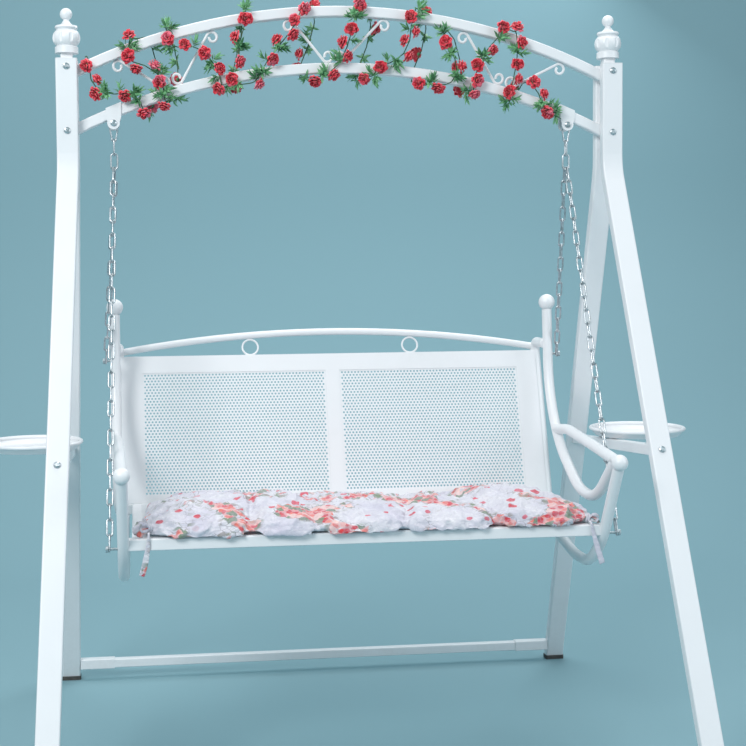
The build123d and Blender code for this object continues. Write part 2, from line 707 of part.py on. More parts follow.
for side, hand in ((-1, "left"), (1, "right")):
    save(f"s_tube_{hand}", s_tube(side))
    save(f"arm_tube_{hand}", arm_tube(side))
    save(f"front_post_{hand}", front_post(side))
save("tube_balls", *tube_balls())
save("arm_bolts", *side_bolts())


# Seat rails and mesh
rail_z = seat_top_z - rail_size / 2


def front_rail():
    tube = square_tube((-inner_tube_x, front_rail_y, rail_z), (inner_tube_x, front_rail_y, rail_z),
                       rail_size, rail_wall, rail_corner, (0, 1, 0))
    for side in sides_share:
        tube -= post_bar(side, side_tube_radius + seat_gap / 2)
    return max(tube.solids(), key=lambda solid: solid.volume)


def rear_rail():
    tube = square_tube((-upright_x, rear_rail_y, rail_z), (upright_x, rear_rail_y, rail_z),
                       rail_size, rail_wall, rail_corner, (0, 1, 0))
    for side in sides_share:
        tube -= upright_bar(side)
    return max(tube.solids(), key=lambda solid: solid.volume)


def cross_rail(x):
    """Seat rail from the front rail to the rear rail."""
    return square_tube((x, front_rail_y + rail_size / 2, rail_z), (x, rear_rail_y - rail_size / 2, rail_z),
                       rail_size, rail_wall, rail_corner)


def seat_mesh():
    front = front_rail_y - rail_size / 2 + mesh_rim
    back = rear_rail_y - rail_size / 2 + mesh_rim
    half = side_rail_x + rail_size / 2 - mesh_rim
    return Pos(0, (front + back) / 2, seat_top_z) * extrude(
        Rectangle(2 * half, back - front), amount=mesh_thickness)


save("seat_front_rail", front_rail())
save("seat_cross_rails", *[cross_rail(x) for x in (-side_rail_x, 0, side_rail_x)])
save("seat_mesh", seat_mesh())


# Seat back, laid out in its own leaning plane
lean = radians(back_lean)


def back_point(x, up, behind):
    """Point of the seat back: along the lean and behind the front face."""
    return (x, back_foot_y + up * sin(lean) + behind * cos(lean), seat_top_z + up * cos(lean) - behind * sin(lean))


def back_plane(behind):
    """Leaning plane, its normal towards the back."""
    return Plane(origin=back_point(0, 0, behind), x_dir=(1, 0, 0), z_dir=(0, -cos(lean), sin(lean)))


back_foot_up = (panel_thickness + back_mesh_thickness) * tan(lean) + seat_gap


def back_panel():
    """Flat front sheet with a window at each side of its middle strip."""
    window_top = back_height - window_margin
    height = back_height - back_foot_up
    sheet = Pos(0, back_foot_up + height / 2) * Rectangle(2 * back_half_width, height)
    window = Rectangle(window_outer_x - window_inner_x, window_top - window_bottom)
    middle = (window_outer_x + window_inner_x) / 2
    for side in sides_share:
        sheet -= Pos(side * middle, (window_bottom + window_top) / 2) * window
    return extrude(back_plane(panel_thickness) * sheet, amount=panel_thickness)


def back_mesh():
    """Punched sheet behind the windows, between the uprights."""
    half = upright_x - side_tube_radius - seat_gap
    height = back_height - rail_size - seat_gap - back_foot_up
    sheet = Pos(0, back_foot_up + height / 2) * Rectangle(2 * half, height)
    return extrude(back_plane(panel_thickness + back_mesh_thickness) * sheet, amount=back_mesh_thickness)


upright_behind = panel_thickness + side_tube_radius + seat_gap / 2


def upright_points(side):
    """Route of an upright: along the lean, then forward to the outer tube."""
    crown = back_point(side * upright_x, back_height + upright_crown, upright_behind)
    return [back_point(side * upright_x, -2 * rail_size, upright_behind), crown,
            (crown[0], first_run_y(s_route, crown[2]), crown[2])]


def upright_bar(side):
    """Solid form of an upright, used to cope what meets it."""
    return bent_bar(upright_points(side), (upright_bend_radius,), side_tube_radius + seat_gap / 2)


def back_upright(side):
    """Round tube behind the panel that bends forward to meet the outer tube."""
    tube = bent_tube(upright_points(side), (upright_bend_radius,), side_tube_radius, side_tube_wall)
    tube -= s_bar(side, side_tube_radius + seat_gap / 2)
    below = Pos(side * upright_x, rear_rail_y, seat_top_z - rail_size) * Box(
        4 * rail_size, 4 * rail_size, 4 * rail_size, align=(Align.CENTER, Align.CENTER, Align.MAX))
    tube -= below
    return max(tube.solids(), key=lambda solid: solid.volume)


def back_top_rail():
    """Square tube behind the panel's top edge."""
    up = back_height - rail_size / 2
    behind = panel_thickness + rail_size / 2
    tube = square_tube(back_point(-upright_x, up, behind), back_point(upright_x, up, behind),
                       rail_size, rail_wall, rail_corner, (0, cos(lean), -sin(lean)))
    for side in sides_share:
        tube -= upright_bar(side)
    return max(tube.solids(), key=lambda solid: solid.volume)


def arch_up(x):
    """Height of the back arch above the seat along the lean."""
    return back_height + back_arch_foot + back_arch_rise * (1 - (x / upright_x) ** 2)


def back_arch():
    """Arched top tube between the uprights."""
    behind = upright_behind
    path = ThreePointArc(back_point(-upright_x, arch_up(upright_x), behind),
                         back_point(0, arch_up(0), behind),
                         back_point(upright_x, arch_up(upright_x), behind))
    section = Plane(origin=path @ 0, z_dir=path % 0)
    tube = sweep(section * (Circle(back_arch_radius) - Circle(back_arch_radius - back_arch_wall)), path=path)
    for side in sides_share:
        tube -= upright_bar(side)
    return max(tube.solids(), key=lambda solid: solid.volume)


def arch_ring(side):
    """Wire ring between the top rail and the arch."""
    room = arch_up(ring_x) - back_arch_radius - back_height
    radius = room / 2 - ring_wire_radius - seat_gap / 2
    centre = back_point(side * ring_x, back_height + room / 2, upright_behind)
    plane = Plane(origin=centre, x_dir=(1, 0, 0), z_dir=(0, -cos(lean), sin(lean)))
    return plane * Torus(radius, ring_wire_radius)


save("seat_rear_rail", rear_rail())
save("back_panel", back_panel())
save("back_mesh", back_mesh())
save("back_top_rail", back_top_rail())
save("back_arch", back_arch())
save("arch_rings", *[arch_ring(side) for side in sides_share])
for side, hand in ((-1, "left"), (1, "right")):
    save(f"back_upright_{hand}", back_upright(side))


# Chains
def chain_link(inner_length, half_width, corner):
    """Wire link with its long axis along Z in the XZ plane, as a faceted ring."""
    end = inner_length / 2 + chain_wire_radius
    path = Polyline(
        (-half_width, 0, 0), (-half_width, 0, end - corner), (-half_width + corner, 0, end),
        (half_width - corner, 0, end), (half_width, 0, end - corner), (half_width, 0, 0))
    section = Plane(origin=(-half_width, 0, 0), x_dir=(1, 0, 0), z_dir=(0, 0, 1))
    half = sweep(section * RegularPolygon(chain_wire_radius, 6), path=path, transition=Transition.RIGHT)
    return half + mirror(half, about=Plane.XY)


def strand(start, end, count, link, pitch):
    """Links along a straight strand, each turned a quarter from the last."""
    run = Vector(*end) - Vector(*start)
    heading = run.normalized()
    first = pitch / 2 + chain_wire_radius / 2 + seat_gap / 2
    across = Vector(1, 0, 0)
    square = (across - heading * across.dot(heading)).normalized()
    links = []
    for index in range(count):
        centre = Vector(*start) + heading * (first + chain_wire_radius / 2 + index * pitch)
        flat_dir = heading.cross(square) if index % 2 == 0 else square
        plane = Plane(origin=centre, x_dir=flat_dir, z_dir=heading)
        links.append(plane * link)
    return links


anchor_seat = chain_wire_radius + shank_radius + seat_gap


front_anchor_x = inner_tube_x + side_tube_radius + anchor_reach
front_anchor = (front_anchor_x, first_run_y(post_route, front_anchor_z), front_anchor_z)


def chain_layout():
    """Pitch and places that make whole links fit between the loop and the anchors."""
    pitch = (loop_bottom_z - front_anchor_z) / front_link_count
    for _ in range(30):
        first_top = loop_bottom_z + loop_wire_radius + chain_wire_radius + seat_gap
        split_z = first_top - 2 * pitch + strand_rise
        start = Vector(hanger_x + strand_offset, 0, split_z)
        length = (Vector(*front_anchor) - start).length + anchor_seat
        pitch = (length - seat_gap - 2 * chain_wire_radius) / front_link_count
    return pitch, split_z


link_pitch, split_z = chain_layout()
link_inner_length = link_pitch + seat_gap


def rear_anchor_point():
    """Point on the outer tube's upper run that a whole number of links reaches."""
    reach = rear_link_count * link_pitch + seat_gap + 2 * chain_wire_radius - anchor_seat
    x = outer_tube_x + side_tube_radius + rear_anchor_reach
    (y1, z1), (y2, z2) = s_route[0], s_route[1]
    across = x - (hanger_x - strand_offset)
    a = (y2 - y1) ** 2 + (z2 - z1) ** 2
    b = 2 * (y1 * (y2 - y1) + (z1 - split_z) * (z2 - z1))
    c = y1 ** 2 + (z1 - split_z) ** 2 + across ** 2 - reach ** 2
    step = (-b + sqrt(b ** 2 - 4 * a * c)) / (2 * a)
    return (x, y1 + step * (y2 - y1), z1 + step * (z2 - z1))


rear_anchor = rear_anchor_point()
plain_link = chain_link(link_inner_length, link_half_width, link_corner)
wide_link = chain_link(link_inner_length, wide_link_half_width, link_corner)


def strand_end(start, anchor):
    """Centre of the last link's end wire below its anchor bolt."""
    run = Vector(*anchor) - Vector(*start)
    return tuple(Vector(*anchor) + run.normalized() * anchor_seat)


def upper_chain(side):
    """The two links that both strands hang from."""
    top = loop_bottom_z + loop_wire_radius + seat_gap + 2 * chain_wire_radius
    first_z = top - chain_wire_radius - (link_inner_length / 2 + chain_wire_radius)
    x = side * hanger_x
    first = Plane(origin=(x, 0, first_z), x_dir=(0, 1, 0), z_dir=(0, 0, 1)) * plain_link
    second = Plane(origin=(x, 0, first_z - link_pitch), x_dir=(1, 0, 0), z_dir=(0, 0, 1)) * wide_link
    return [first, second]


def chain(side, anchor, offset, count):
    start = (side * (hanger_x + offset), 0, split_z)
    end = strand_end(start, mirrored(anchor, side))
    return strand(start, end, count, plain_link, link_pitch)


def anchor_bolt(anchor, tube_x, side):
    """Stud and nut on a tube that hold a chain's last link."""
    x, y, z = mirrored(anchor, side)
    tip = x + side * anchor_reach / 2
    shank = bar_between((side * (tube_x + side_tube_radius), y, z), (tip, y, z), shank_radius)
    nut = Plane(origin=(x + side * (chain_wire_radius + seat_gap), y, z), z_dir=(side, 0, 0)) * Cylinder(
        anchor_nut_radius, nut_height, align=(Align.CENTER, Align.CENTER, Align.MIN))
    return shank + nut


for side, hand in ((-1, "left"), (1, "right")):
    save(f"front_chain_{hand}", *chain(side, front_anchor, strand_offset, front_link_count))
    save(f"rear_chain_{hand}", *chain(side, rear_anchor, -strand_offset, rear_link_count))
save("upper_chain_links", *upper_chain(-1), *upper_chain(1))
anchors = ((front_anchor, inner_tube_x), (rear_anchor, outer_tube_x))
save("chain_anchor_bolts", *[anchor_bolt(anchor, tube_x, side) for side in sides_share for anchor, tube_x in anchors])
print("link pitch", round(link_pitch, 3), "split z", round(split_z, 2))
print("front anchor", [round(value, 1) for value in front_anchor])
print("rear anchor", [round(value, 1) for value in rear_anchor])


# Tray bars and trays
def tray_bar(side):
    """Square bar between the front and the rear leg, cut to their slopes."""
    middle_z = (tray_bar_front_z + tray_bar_rear_z) / 2
    x = side * (post_x + (leg_bend_z - middle_z) * leg_lean_share)
    front_y = leg_axis(side, -1, tray_bar_front_z)[1]
    rear_y = leg_axis(side, 1, tray_bar_rear_z)[1]
    tube = square_tube((x, front_y, tray_bar_front_z), (x, rear_y, tray_bar_rear_z),
                       tray_bar_size, tray_bar_wall, rail_corner)
    for face in sides_share:
        foot_point = leg_axis(side, face, -overrun)
        top_point = leg_axis(side, face, leg_bend_z)
        run = Vector(*foot_point) - Vector(*top_point)
        plane = Plane(origin=top_point, x_dir=(1, 0, 0), z_dir=run.normalized())
        tube -= extrude(plane * Rectangle(2 * leg_width, leg_depth + 2 * seat_gap), amount=run.length)
    return max(tube.solids(), key=lambda solid: solid.volume)


def tray(side):
    """Shallow round dish with a rolled rim."""
    inner = tray_radius - tray_rim_radius
    floor_z = tray_top_z - tray_depth
    rim_z = tray_top_z - tray_rim_radius
    profile = make_face(Polyline(
        (0, floor_z), (inner - tray_corner, floor_z), (inner, floor_z + tray_corner), (inner, rim_z),
        (inner - tray_wall, rim_z), (inner - tray_wall, floor_z + tray_corner + tray_wall / 2),
        (inner - tray_corner - tray_wall / 2, floor_z + tray_wall), (0, floor_z + tray_wall), close=True))
    dish = revolve(Plane.XZ * profile, Axis.Z)
    rim = Pos(0, 0, rim_z) * Torus(inner, tray_rim_radius)
    return Pos(side * tray_x, tray_y, 0) * (dish + rim)


def tray_posts():
    """Short spacers between each tray and its sloping bar."""
    pieces = []
    middle_z = (tray_bar_front_z + tray_bar_rear_z) / 2
    x = post_x + (leg_bend_z - middle_z) * leg_lean_share
    for side in sides_share:
        for y in (tray_y - tray_post_spread, tray_y + tray_post_spread):
            top = tray_top_z - tray_depth
            column = Pos(side * x, y, tray_bar_rear_z) * Cylinder(
                tray_post_radius, top - tray_bar_rear_z, align=(Align.CENTER, Align.CENTER, Align.MIN))
            front_y = leg_axis(side, -1, tray_bar_front_z)[1]
            rear_y = leg_axis(side, 1, tray_bar_rear_z)[1]
            run = Vector(0, rear_y - front_y, tray_bar_rear_z - tray_bar_front_z)
            plane = Plane(origin=(side * x, front_y, tray_bar_front_z), x_dir=(1, 0, 0), z_dir=run.normalized())
            column -= extrude(plane * Rectangle(2 * tray_bar_size, tray_bar_size), amount=run.length)
            pieces.append(max(column.solids(), key=lambda solid: solid.center().Z))
    return pieces


def tray_bar_bolts():
    """Bolt heads on the outer faces of the legs, in line with the tray bars."""
    pieces = []
    for side in sides_share:
        for face, z in ((-1, tray_bar_front_z), (1, tray_bar_rear_z)):
            run = Vector(*leg_axis(side, face, 0)) - Vector(*leg_axis(side, face, leg_bend_z))
            normal = run.cross(Vector(1, 0, 0)).normalized()
            out = normal * face if normal.Y > 0 else normal * -face
            centre = Vector(*leg_axis(side, face, z))
            pieces.append(bolt_head(tuple(centre + out * (leg_depth / 2 + seat_gap / 2)), tuple(out)))
    return pieces


for side, hand in ((-1, "left"), (1, "right")):
    save(f"tray_bar_{hand}", tray_bar(side))
    save(f"tray_{hand}", tray(side))
save("tray_posts", *tray_posts())
save("tray_bar_bolts", *tray_bar_bolts())


# Rear tie bar between the rear legs
def tie_end_x():
    return leg_axis(1, 1, tie_z)[0] - leg_width / 2


def rear_tie_bar():
    half = tie_end_x() - tie_stub_length
    y = leg_axis(1, 1, tie_z)[1]
    return square_tube((-half, y, tie_z), (half, y, tie_z), tie_size - 2 * tie_sleeve, tie_wall, tie_wall * 2,
                       (0, 1, 0))


def tie_stub(side):
    """Sleeve welded to a rear leg, over the end of the tie bar."""
    y = leg_axis(1, 1, tie_z)[1]
    start = (side * (tie_end_x() - tie_stub_length), y, tie_z)
    end = (side * (tie_end_x() + overrun / 2), y, tie_z)
    tube = square_tube(start, end, tie_size, tie_wall, tie_wall * 2, (0, 1, 0))
    foot_point = leg_axis(side, 1, -overrun)
    top_point = leg_axis(side, 1, leg_bend_z)
    run = Vector(*foot_point) - Vector(*top_point)
    plane = Plane(origin=top_point, x_dir=(1, 0, 0), z_dir=run.normalized())
    tube -= extrude(plane * Rectangle(leg_width + 2 * seat_gap, 4 * leg_width), amount=run.length)
    return min(tube.solids(), key=lambda solid: abs(solid.center().X))


save("rear_tie_bar", rear_tie_bar())
save("tie_bar_sleeves", *[tie_stub(side) for side in sides_share])


# Seat cushion
cushion_length = 2 * (inner_tube_x - side_tube_radius) - cushion_end_room


def cushion():
    """Padded seat with a crown, drawn-in sides and sewn channels."""
    base = seat_top_z + mesh_thickness + cushion_lift
    half_depth = cushion_depth / 2
    profile = make_face([
        Line((-half_depth + cushion_edge / 2, 0), (half_depth - cushion_edge / 2, 0)),
        ThreePointArc((half_depth - cushion_edge / 2, 0), (half_depth, cushion_edge / 2),
                      (half_depth - cushion_edge / 2, cushion_edge)),
        ThreePointArc((half_depth - cushion_edge / 2, cushion_edge), (0, cushion_crown),
                      (-half_depth + cushion_edge / 2, cushion_edge)),
        ThreePointArc((-half_depth + cushion_edge / 2, cushion_edge), (-half_depth, cushion_edge / 2),
                      (-half_depth + cushion_edge / 2, 0)),
    ])
    body = extrude(Plane.YZ * profile, amount=cushion_length / 2, both=True)
    plan = extrude(RectangleRounded(cushion_length, cushion_depth, cushion_corner), amount=2 * cushion_crown)
    body &= plan
    for share in cushion_shares[1:-1]:
        groove = Pos(share * cushion_length, 0, cushion_crown + channel_width / 2 - channel_depth) * Rot(
            90, 0, 0) * Cylinder(channel_width / 2, 2 * cushion_depth)
        body -= groove
    for side in sides_share:
        slope = Pos(side * cushion_length / 2, 0, cushion_crown + cushion_edge) * Rot(0, side * 35, 0) * Box(
            2 * cushion_edge + channel_width, 2 * cushion_depth, cushion_crown)
        body -= slope
    return Pos(cushion_x, cushion_y, base) * body


def cushion_ties():
    """Flat straps at the front corners that hang over the front rail."""
    pieces = []
    y = front_rail_y - rail_size / 2 - tie_strap_thickness / 2 - seat_gap
    for side in sides_share:
        x = cushion_x + side * (cushion_length / 2 - tie_strap_width)
        pieces.append(Pos(x, y, seat_top_z + rail_size / 2) * Box(
            tie_strap_width, tie_strap_thickness, tie_strap_length,
            align=(Align.CENTER, Align.CENTER, Align.MAX)))
    return pieces


save("seat_cushion", cushion())
save("cushion_ties", *cushion_ties())


# Garland
def vine_point(x_share, level, side_share):
    x = x_share * beam_end_x
    return Vector(x, side_share * vine_depth, lower_z(x) + level * beam_spacing)


def route_radii(points, largest):
    """Bend radii as large as the shorter run beside each point allows."""
    radii = []
    for before, here, after in zip(points, points[1:], points[2:]):
        run_in, run_out = here - before, after - here
        turn = radians(run_in.get_angle(run_out))
        radii.append(min(0.45 * min(run_in.length, run_out.length) / tan(turn / 2), largest))
    return radii


def with_corners(stations):
    """Stations with one more at each beam corner that the vine goes round."""
    rounded = []
    for here, after in zip(stations, stations[1:]):
        rounded.append(here)
        for inner, outer in ((here, after), (after, here)):
            if abs(outer[1] - 0.5) > vine_over_share and abs(inner[2]) > vine_face_share > abs(outer[2]):
                rounded.append(((inner[0] + outer[0]) / 2, outer[1], copysign(1, inner[2])))
    return rounded + [stations[-1]]


vine_points = [vine_point(*station) for station in with_corners(vine_shares)]
vine_radii = route_radii(vine_points, vine_bend_radius)
vine_path = FilletPolyline(*vine_points, radius=vine_radii)
vine_start = Plane(origin=vine_path @ 0, z_dir=vine_path % 0)
vine = sweep(vine_start * RegularPolygon(vine_radius, 5), path=vine_path)
save("garland_vine", vine)
print("vine length", round(vine_path.length), "smallest bend", round(min(vine_radii), 1))


def bloom():
    """Rose as a flared cup of petals round a sunk bud, its stem end at the origin."""
    levels = (
        (0, rose_base_radius), (rose_height * 0.35, rose_radius * 0.86),
        (rose_height * 0.75, rose_radius), (rose_height, rose_radius * 0.7))
    petals = [Pos(0, 0, z) * RegularPolygon(radius, rose_sides) for z, radius in levels]
    cup = loft(petals, ruled=True)
    bud = [Pos(0, 0, rose_height) * RegularPolygon(rose_radius * 0.5, rose_sides),
           Pos(0, 0, rose_height * 0.7) * RegularPolygon(rose_radius * 0.2, rose_sides)]
    return cup - loft(bud, ruled=True)


def leaf():
    """Pointed leaf, flat, its stem end at the origin and its tip along Z."""
    blade = make_face(Polyline(
        (0, 0), (leaf_width / 2, leaf_length * 0.45), (0, leaf_length), (-leaf_width / 2, leaf_length * 0.45),
        close=True))
    return extrude(Plane.XZ * blade, amount=leaf_thickness / 2, both=True)


def along_vine(share, roll, reach):
    """Frame on the vine that points away from it, rolled about it."""
    origin = vine_path @ share
    heading = (vine_path % share).normalized()
    front = Vector(0, -1, 0) if origin.Y < 0 else Vector(0, 1, 0)
    out = (front - heading * front.dot(heading)).normalized()
    aside = heading.cross(out)
    angle = radians(roll)
    away = out * cos(angle) + aside * sin(angle)
    return Plane(origin=origin + away * (vine_radius + reach), x_dir=heading, z_dir=away)


def on_vine(stations, form):
    """One copy of a form at each station."""
    return [along_vine(share, roll, seat_gap / 2) * form for share, roll in stations]


save("rose_blooms", *on_vine(rose_stations, bloom()))
save("rose_leaves", *on_vine(leaf_stations, leaf()))
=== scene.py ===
import bpy
import json
import numpy as np
from math import atan2, cos, exp, hypot, pi, radians, sin, sqrt
from mathutils import Matrix, Vector, noise


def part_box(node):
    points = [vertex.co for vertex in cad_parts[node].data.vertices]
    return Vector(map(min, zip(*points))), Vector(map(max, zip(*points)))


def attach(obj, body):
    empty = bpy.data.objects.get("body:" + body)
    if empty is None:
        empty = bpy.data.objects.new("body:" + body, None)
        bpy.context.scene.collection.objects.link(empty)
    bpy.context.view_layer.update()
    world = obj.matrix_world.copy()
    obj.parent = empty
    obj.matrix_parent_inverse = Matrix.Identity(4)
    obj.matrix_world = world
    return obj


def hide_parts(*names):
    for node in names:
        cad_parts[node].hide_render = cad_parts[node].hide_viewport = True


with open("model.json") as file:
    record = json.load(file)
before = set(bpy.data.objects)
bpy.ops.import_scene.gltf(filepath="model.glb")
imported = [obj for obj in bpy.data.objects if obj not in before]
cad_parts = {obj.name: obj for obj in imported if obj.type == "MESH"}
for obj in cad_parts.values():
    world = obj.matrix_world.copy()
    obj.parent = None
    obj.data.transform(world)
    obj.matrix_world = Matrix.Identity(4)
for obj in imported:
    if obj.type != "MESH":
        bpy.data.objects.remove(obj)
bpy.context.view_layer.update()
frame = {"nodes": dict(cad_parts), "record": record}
MM = 0.001


# Shader building helpers
class Net:
    """A node tree with short calls for adding nodes and joining sockets."""

    def __init__(self, tree):
        self.tree = tree

    def node(self, kind, **settings):
        made = self.tree.nodes.new(kind)
        for key, value in settings.items():
            setattr(made, key, value)
        return made

    def feed(self, socket, value):
        """Join a socket to an input, or write a value there."""
        if isinstance(value, bpy.types.NodeSocket):
            self.tree.links.new(value, socket)
        else:
            socket.default_value = value

    def fill(self, made, **values):
        """Feed a node's inputs by their labels."""
        for label, value in values.items():
            self.feed(made.inputs[label.replace("_", " ")], value)
        return made

    def group(self, tree, **values):
        return self.fill(self.node("ShaderNodeGroup", node_tree=tree), **values).outputs

    def math(self, operation, first, second=0.0, clamp=False):
        made = self.node("ShaderNodeMath", operation=operation, use_clamp=clamp)
        self.feed(made.inputs[0], first)
        self.feed(made.inputs[1], second)
        return made.outputs[0]

    def times(self, first, second, clamp=False):
        return self.math("MULTIPLY", first, second, clamp)

    def plus(self, first, second):
        return self.math("ADD", first, second)

    def off(self, value, middle):
        """Distance of a value from a middle one."""
        return self.math("ABSOLUTE", self.math("SUBTRACT", value, middle))

    def span(self, value, low, high, to_low=0.0, to_high=1.0):
        """Move a value from one range to another, clamped at both ends."""
        made = self.node("ShaderNodeMapRange")
        for socket, item in zip(made.inputs, (value, low, high, to_low, to_high)):
            self.feed(socket, item)
        return made.outputs[0]

    def mix(self, factor, first, second):
        made = self.node("ShaderNodeMix", data_type="RGBA")
        self.feed(made.inputs[0], factor)
        for index, colour in ((6, first), (7, second)):
            self.feed(made.inputs[index], (*colour, 1) if isinstance(colour, tuple) else colour)
        return made.outputs[2]

    def split(self, value, kind="XYZ"):
        """The three parts of a vector, or of a colour."""
        made = self.node(f"ShaderNodeSeparate{kind}")
        self.feed(made.inputs[0], value)
        return made.outputs

    def noise_node(self, place, scale, detail=2.0, roughness=0.5, distortion=0.0):
        return self.fill(self.node("ShaderNodeTexNoise"), Vector=place, Scale=scale, Detail=detail,
                         Roughness=roughness, Distortion=distortion)

    def noise(self, *settings):
        return self.noise_node(*settings).outputs[0]

    def cells(self, place, scale, feature="F1", randomness=1.0, dimensions="3D"):
        made = self.node("ShaderNodeTexVoronoi", feature=feature, voronoi_dimensions=dimensions)
        return self.fill(made, Vector=place, Scale=scale, Randomness=randomness).outputs

    def stretch(self, place, scale, location=(0, 0, 0)):
        made = self.node("ShaderNodeMapping")
        return self.fill(made, Vector=place, Scale=scale, Location=location).outputs[0]

    def ragged(self, place, scale, detail, reach):
        """Shift a place by noise, so that what is printed there gets a ragged rim."""
        made = self.node("ShaderNodeVectorMath", operation="MULTIPLY_ADD")
        self.feed(made.inputs[0], self.noise_node(place, scale, detail, 0.6).outputs["Color"])
        self.feed(made.inputs[1], (reach, reach, 0.0))
        self.feed(made.inputs[2], place)
        return made.outputs[0]

    def object_place(self):
        return self.node("ShaderNodeTexCoord").outputs["Object"]

    def cloth_place(self):
        return self.node("ShaderNodeUVMap").outputs[0]


def shader_group(name, inputs, outputs, build):
    """Node group that finishes share. An input with no default is a place, the rest are numbers."""
    tree = bpy.data.node_groups.new(name, "ShaderNodeTree")
    for label, default in inputs.items():
        kind = "NodeSocketVector" if default is None else "NodeSocketFloat"
        socket = tree.interface.new_socket(name=label, in_out="INPUT", socket_type=kind)
        if default is not None:
            socket.default_value = default
    for label in outputs:
        tree.interface.new_socket(name=label, in_out="OUTPUT", socket_type="NodeSocketFloat")
    net = Net(tree)
    results = build(net, net.node("NodeGroupInput").outputs)
    net.fill(net.node("NodeGroupOutput"), **results)
    return tree


def finish_material(name, base, roughness, build, **sockets):
    """Principled material. build gives colour, roughness, height and the bump's strength and distance."""
    made = bpy.data.materials.new(name)
    made.use_nodes = True
    made.diffuse_color = (*base, 1)
    net = Net(made.node_tree)
    shader = net.fill(made.node_tree.nodes["Principled BSDF"], Base_Color=(*base, 1), Roughness=roughness,
                      **sockets)
    colour, rough, height, strength, distance = build(net)
    bump = net.fill(net.node("ShaderNodeBump"), Height=height, Strength=strength, Distance=distance)
    net.fill(shader, Base_Color=colour, Roughness=rough, Normal=bump.outputs[0])
    return made


def build_grime(net, entry):
    """Soft smudges and dust that gather low down and in patches."""
    broad = net.noise(entry["Place"], 7.0, 4.0, 0.6)
    fine = net.noise(entry["Place"], 90.0, 3.0, 0.6)
    low = net.span(net.split(entry["Place"])[2], 0.28, 0.0, 0.0, 0.55)
    patch = net.span(broad, 0.52, 0.78, 0.0, 0.5)
    mask = net.times(net.plus(low, patch), net.span(fine, 0.35, 0.65, 0.35, 1.0))
    return {"Mask": net.times(mask, entry["Amount"], clamp=True)}


def build_skin(net, entry):
    """Fine unevenness of a coated or moulded surface."""
    peel = net.noise(entry["Place"], entry["Scale"], 2.0, 0.45)
    drift = net.noise(entry["Place"], 22.0, 2.0, 0.5)
    rough = net.plus(entry["Roughness"], net.span(drift, 0.3, 0.7, -0.05, 0.06))
    return {"Height": peel, "Roughness": rough}


def build_weave(net, entry):
    """Plain weave: threads over and under in two directions."""
    across, along = (net.math("SINE", net.times(net.times(run, entry["Scale"]), 2 * pi))
                     for run in net.split(entry["Place"])[:2])
    slub = net.noise(entry["Place"], 160.0, 2.0, 0.6)
    return {"Height": net.plus(net.times(net.times(across, along), 0.5), slub), "Slub": slub}


def build_posy(net, entry):
    """Scattered printed flowers: a ragged round of petals in each cell of one layer."""
    cell = net.cells(net.ragged(entry["Place"], 55.0, 3.0, 0.012), entry["Scale"], "F1", 0.85, "2D")
    tone = net.split(cell["Color"], "Color")
    size = net.times(entry["Size"], net.span(tone[0], 0.0, 1.0, 0.55, 1.1))
    inside = net.span(cell["Distance"], size, net.times(size, 0.82))
    shown = net.span(tone[1], entry["Gap"], net.plus(entry["Gap"], 0.02))
    return {"Mask": net.times(inside, shown, clamp=True), "Tone": tone[2]}


grime = shader_group("grime", {"Place": None, "Amount": 0.2}, ("Mask",), build_grime)
skin = shader_group("skin", {"Place": None, "Scale": 700.0, "Roughness": 0.35}, ("Height", "Roughness"),
                    build_skin)
weave = shader_group("weave", {"Place": None, "Scale": 900.0}, ("Height", "Slub"), build_weave)
posy = shader_group("posy", {"Place": None, "Scale": 12.0, "Size": 0.3, "Gap": 0.3}, ("Mask", "Tone"),
                    build_posy)


# Finishes of steel, plastic and rubber
def coated(name, base, dirt, roughness, grain, amount, **sockets):
    """Coated surface with smudges and dust. grain sets how fine its unevenness is."""
    def build(net):
        place = net.object_place()
        mask = net.group(grime, Place=place, Amount=amount)["Mask"]
        fine = net.group(skin, Place=place, Scale=grain, Roughness=roughness)
        rough = net.plus(fine["Roughness"], net.times(mask, 0.25))
        return net.mix(mask, base, dirt), rough, fine["Height"], 0.25, 0.2 * MM
    return finish_material(name, base, roughness, build, **sockets)


white_paint = coated("white_powder_coat", (0.80, 0.815, 0.83), (0.52, 0.53, 0.52), 0.34, 700.0, 0.22,
                     Coat_Weight=0.12, Coat_Roughness=0.25)
white_plastic = coated("white_moulded_plastic", (0.76, 0.77, 0.78), (0.5, 0.5, 0.48), 0.45, 1400.0, 0.25)
black_rubber = coated("black_rubber", (0.028, 0.028, 0.03), (0.16, 0.15, 0.13), 0.72, 1100.0, 0.8)

ZINC_DARK, ZINC_PALE, ZINC_DULL = (0.50, 0.51, 0.53), (0.70, 0.71, 0.73), (0.42, 0.42, 0.42)


def zinc(net):
    """Hot dipped zinc: crystals of slightly different greys with dull spots."""
    place = net.object_place()
    tone = net.split(net.cells(place, 260.0)["Color"], "Color")
    dull = net.span(net.noise(place, 45.0, 4.0, 0.6), 0.5, 0.75)
    colour = net.mix(dull, net.mix(tone[0], ZINC_DARK, ZINC_PALE), ZINC_DULL)
    return colour, net.span(tone[1], 0.0, 1.0, 0.26, 0.46), net.noise(place, 600.0, 3.0, 0.6), 0.3, 0.2 * MM


galvanised = finish_material("galvanised_steel", (0.6, 0.61, 0.63), 0.36, zinc, Metallic=1.0)


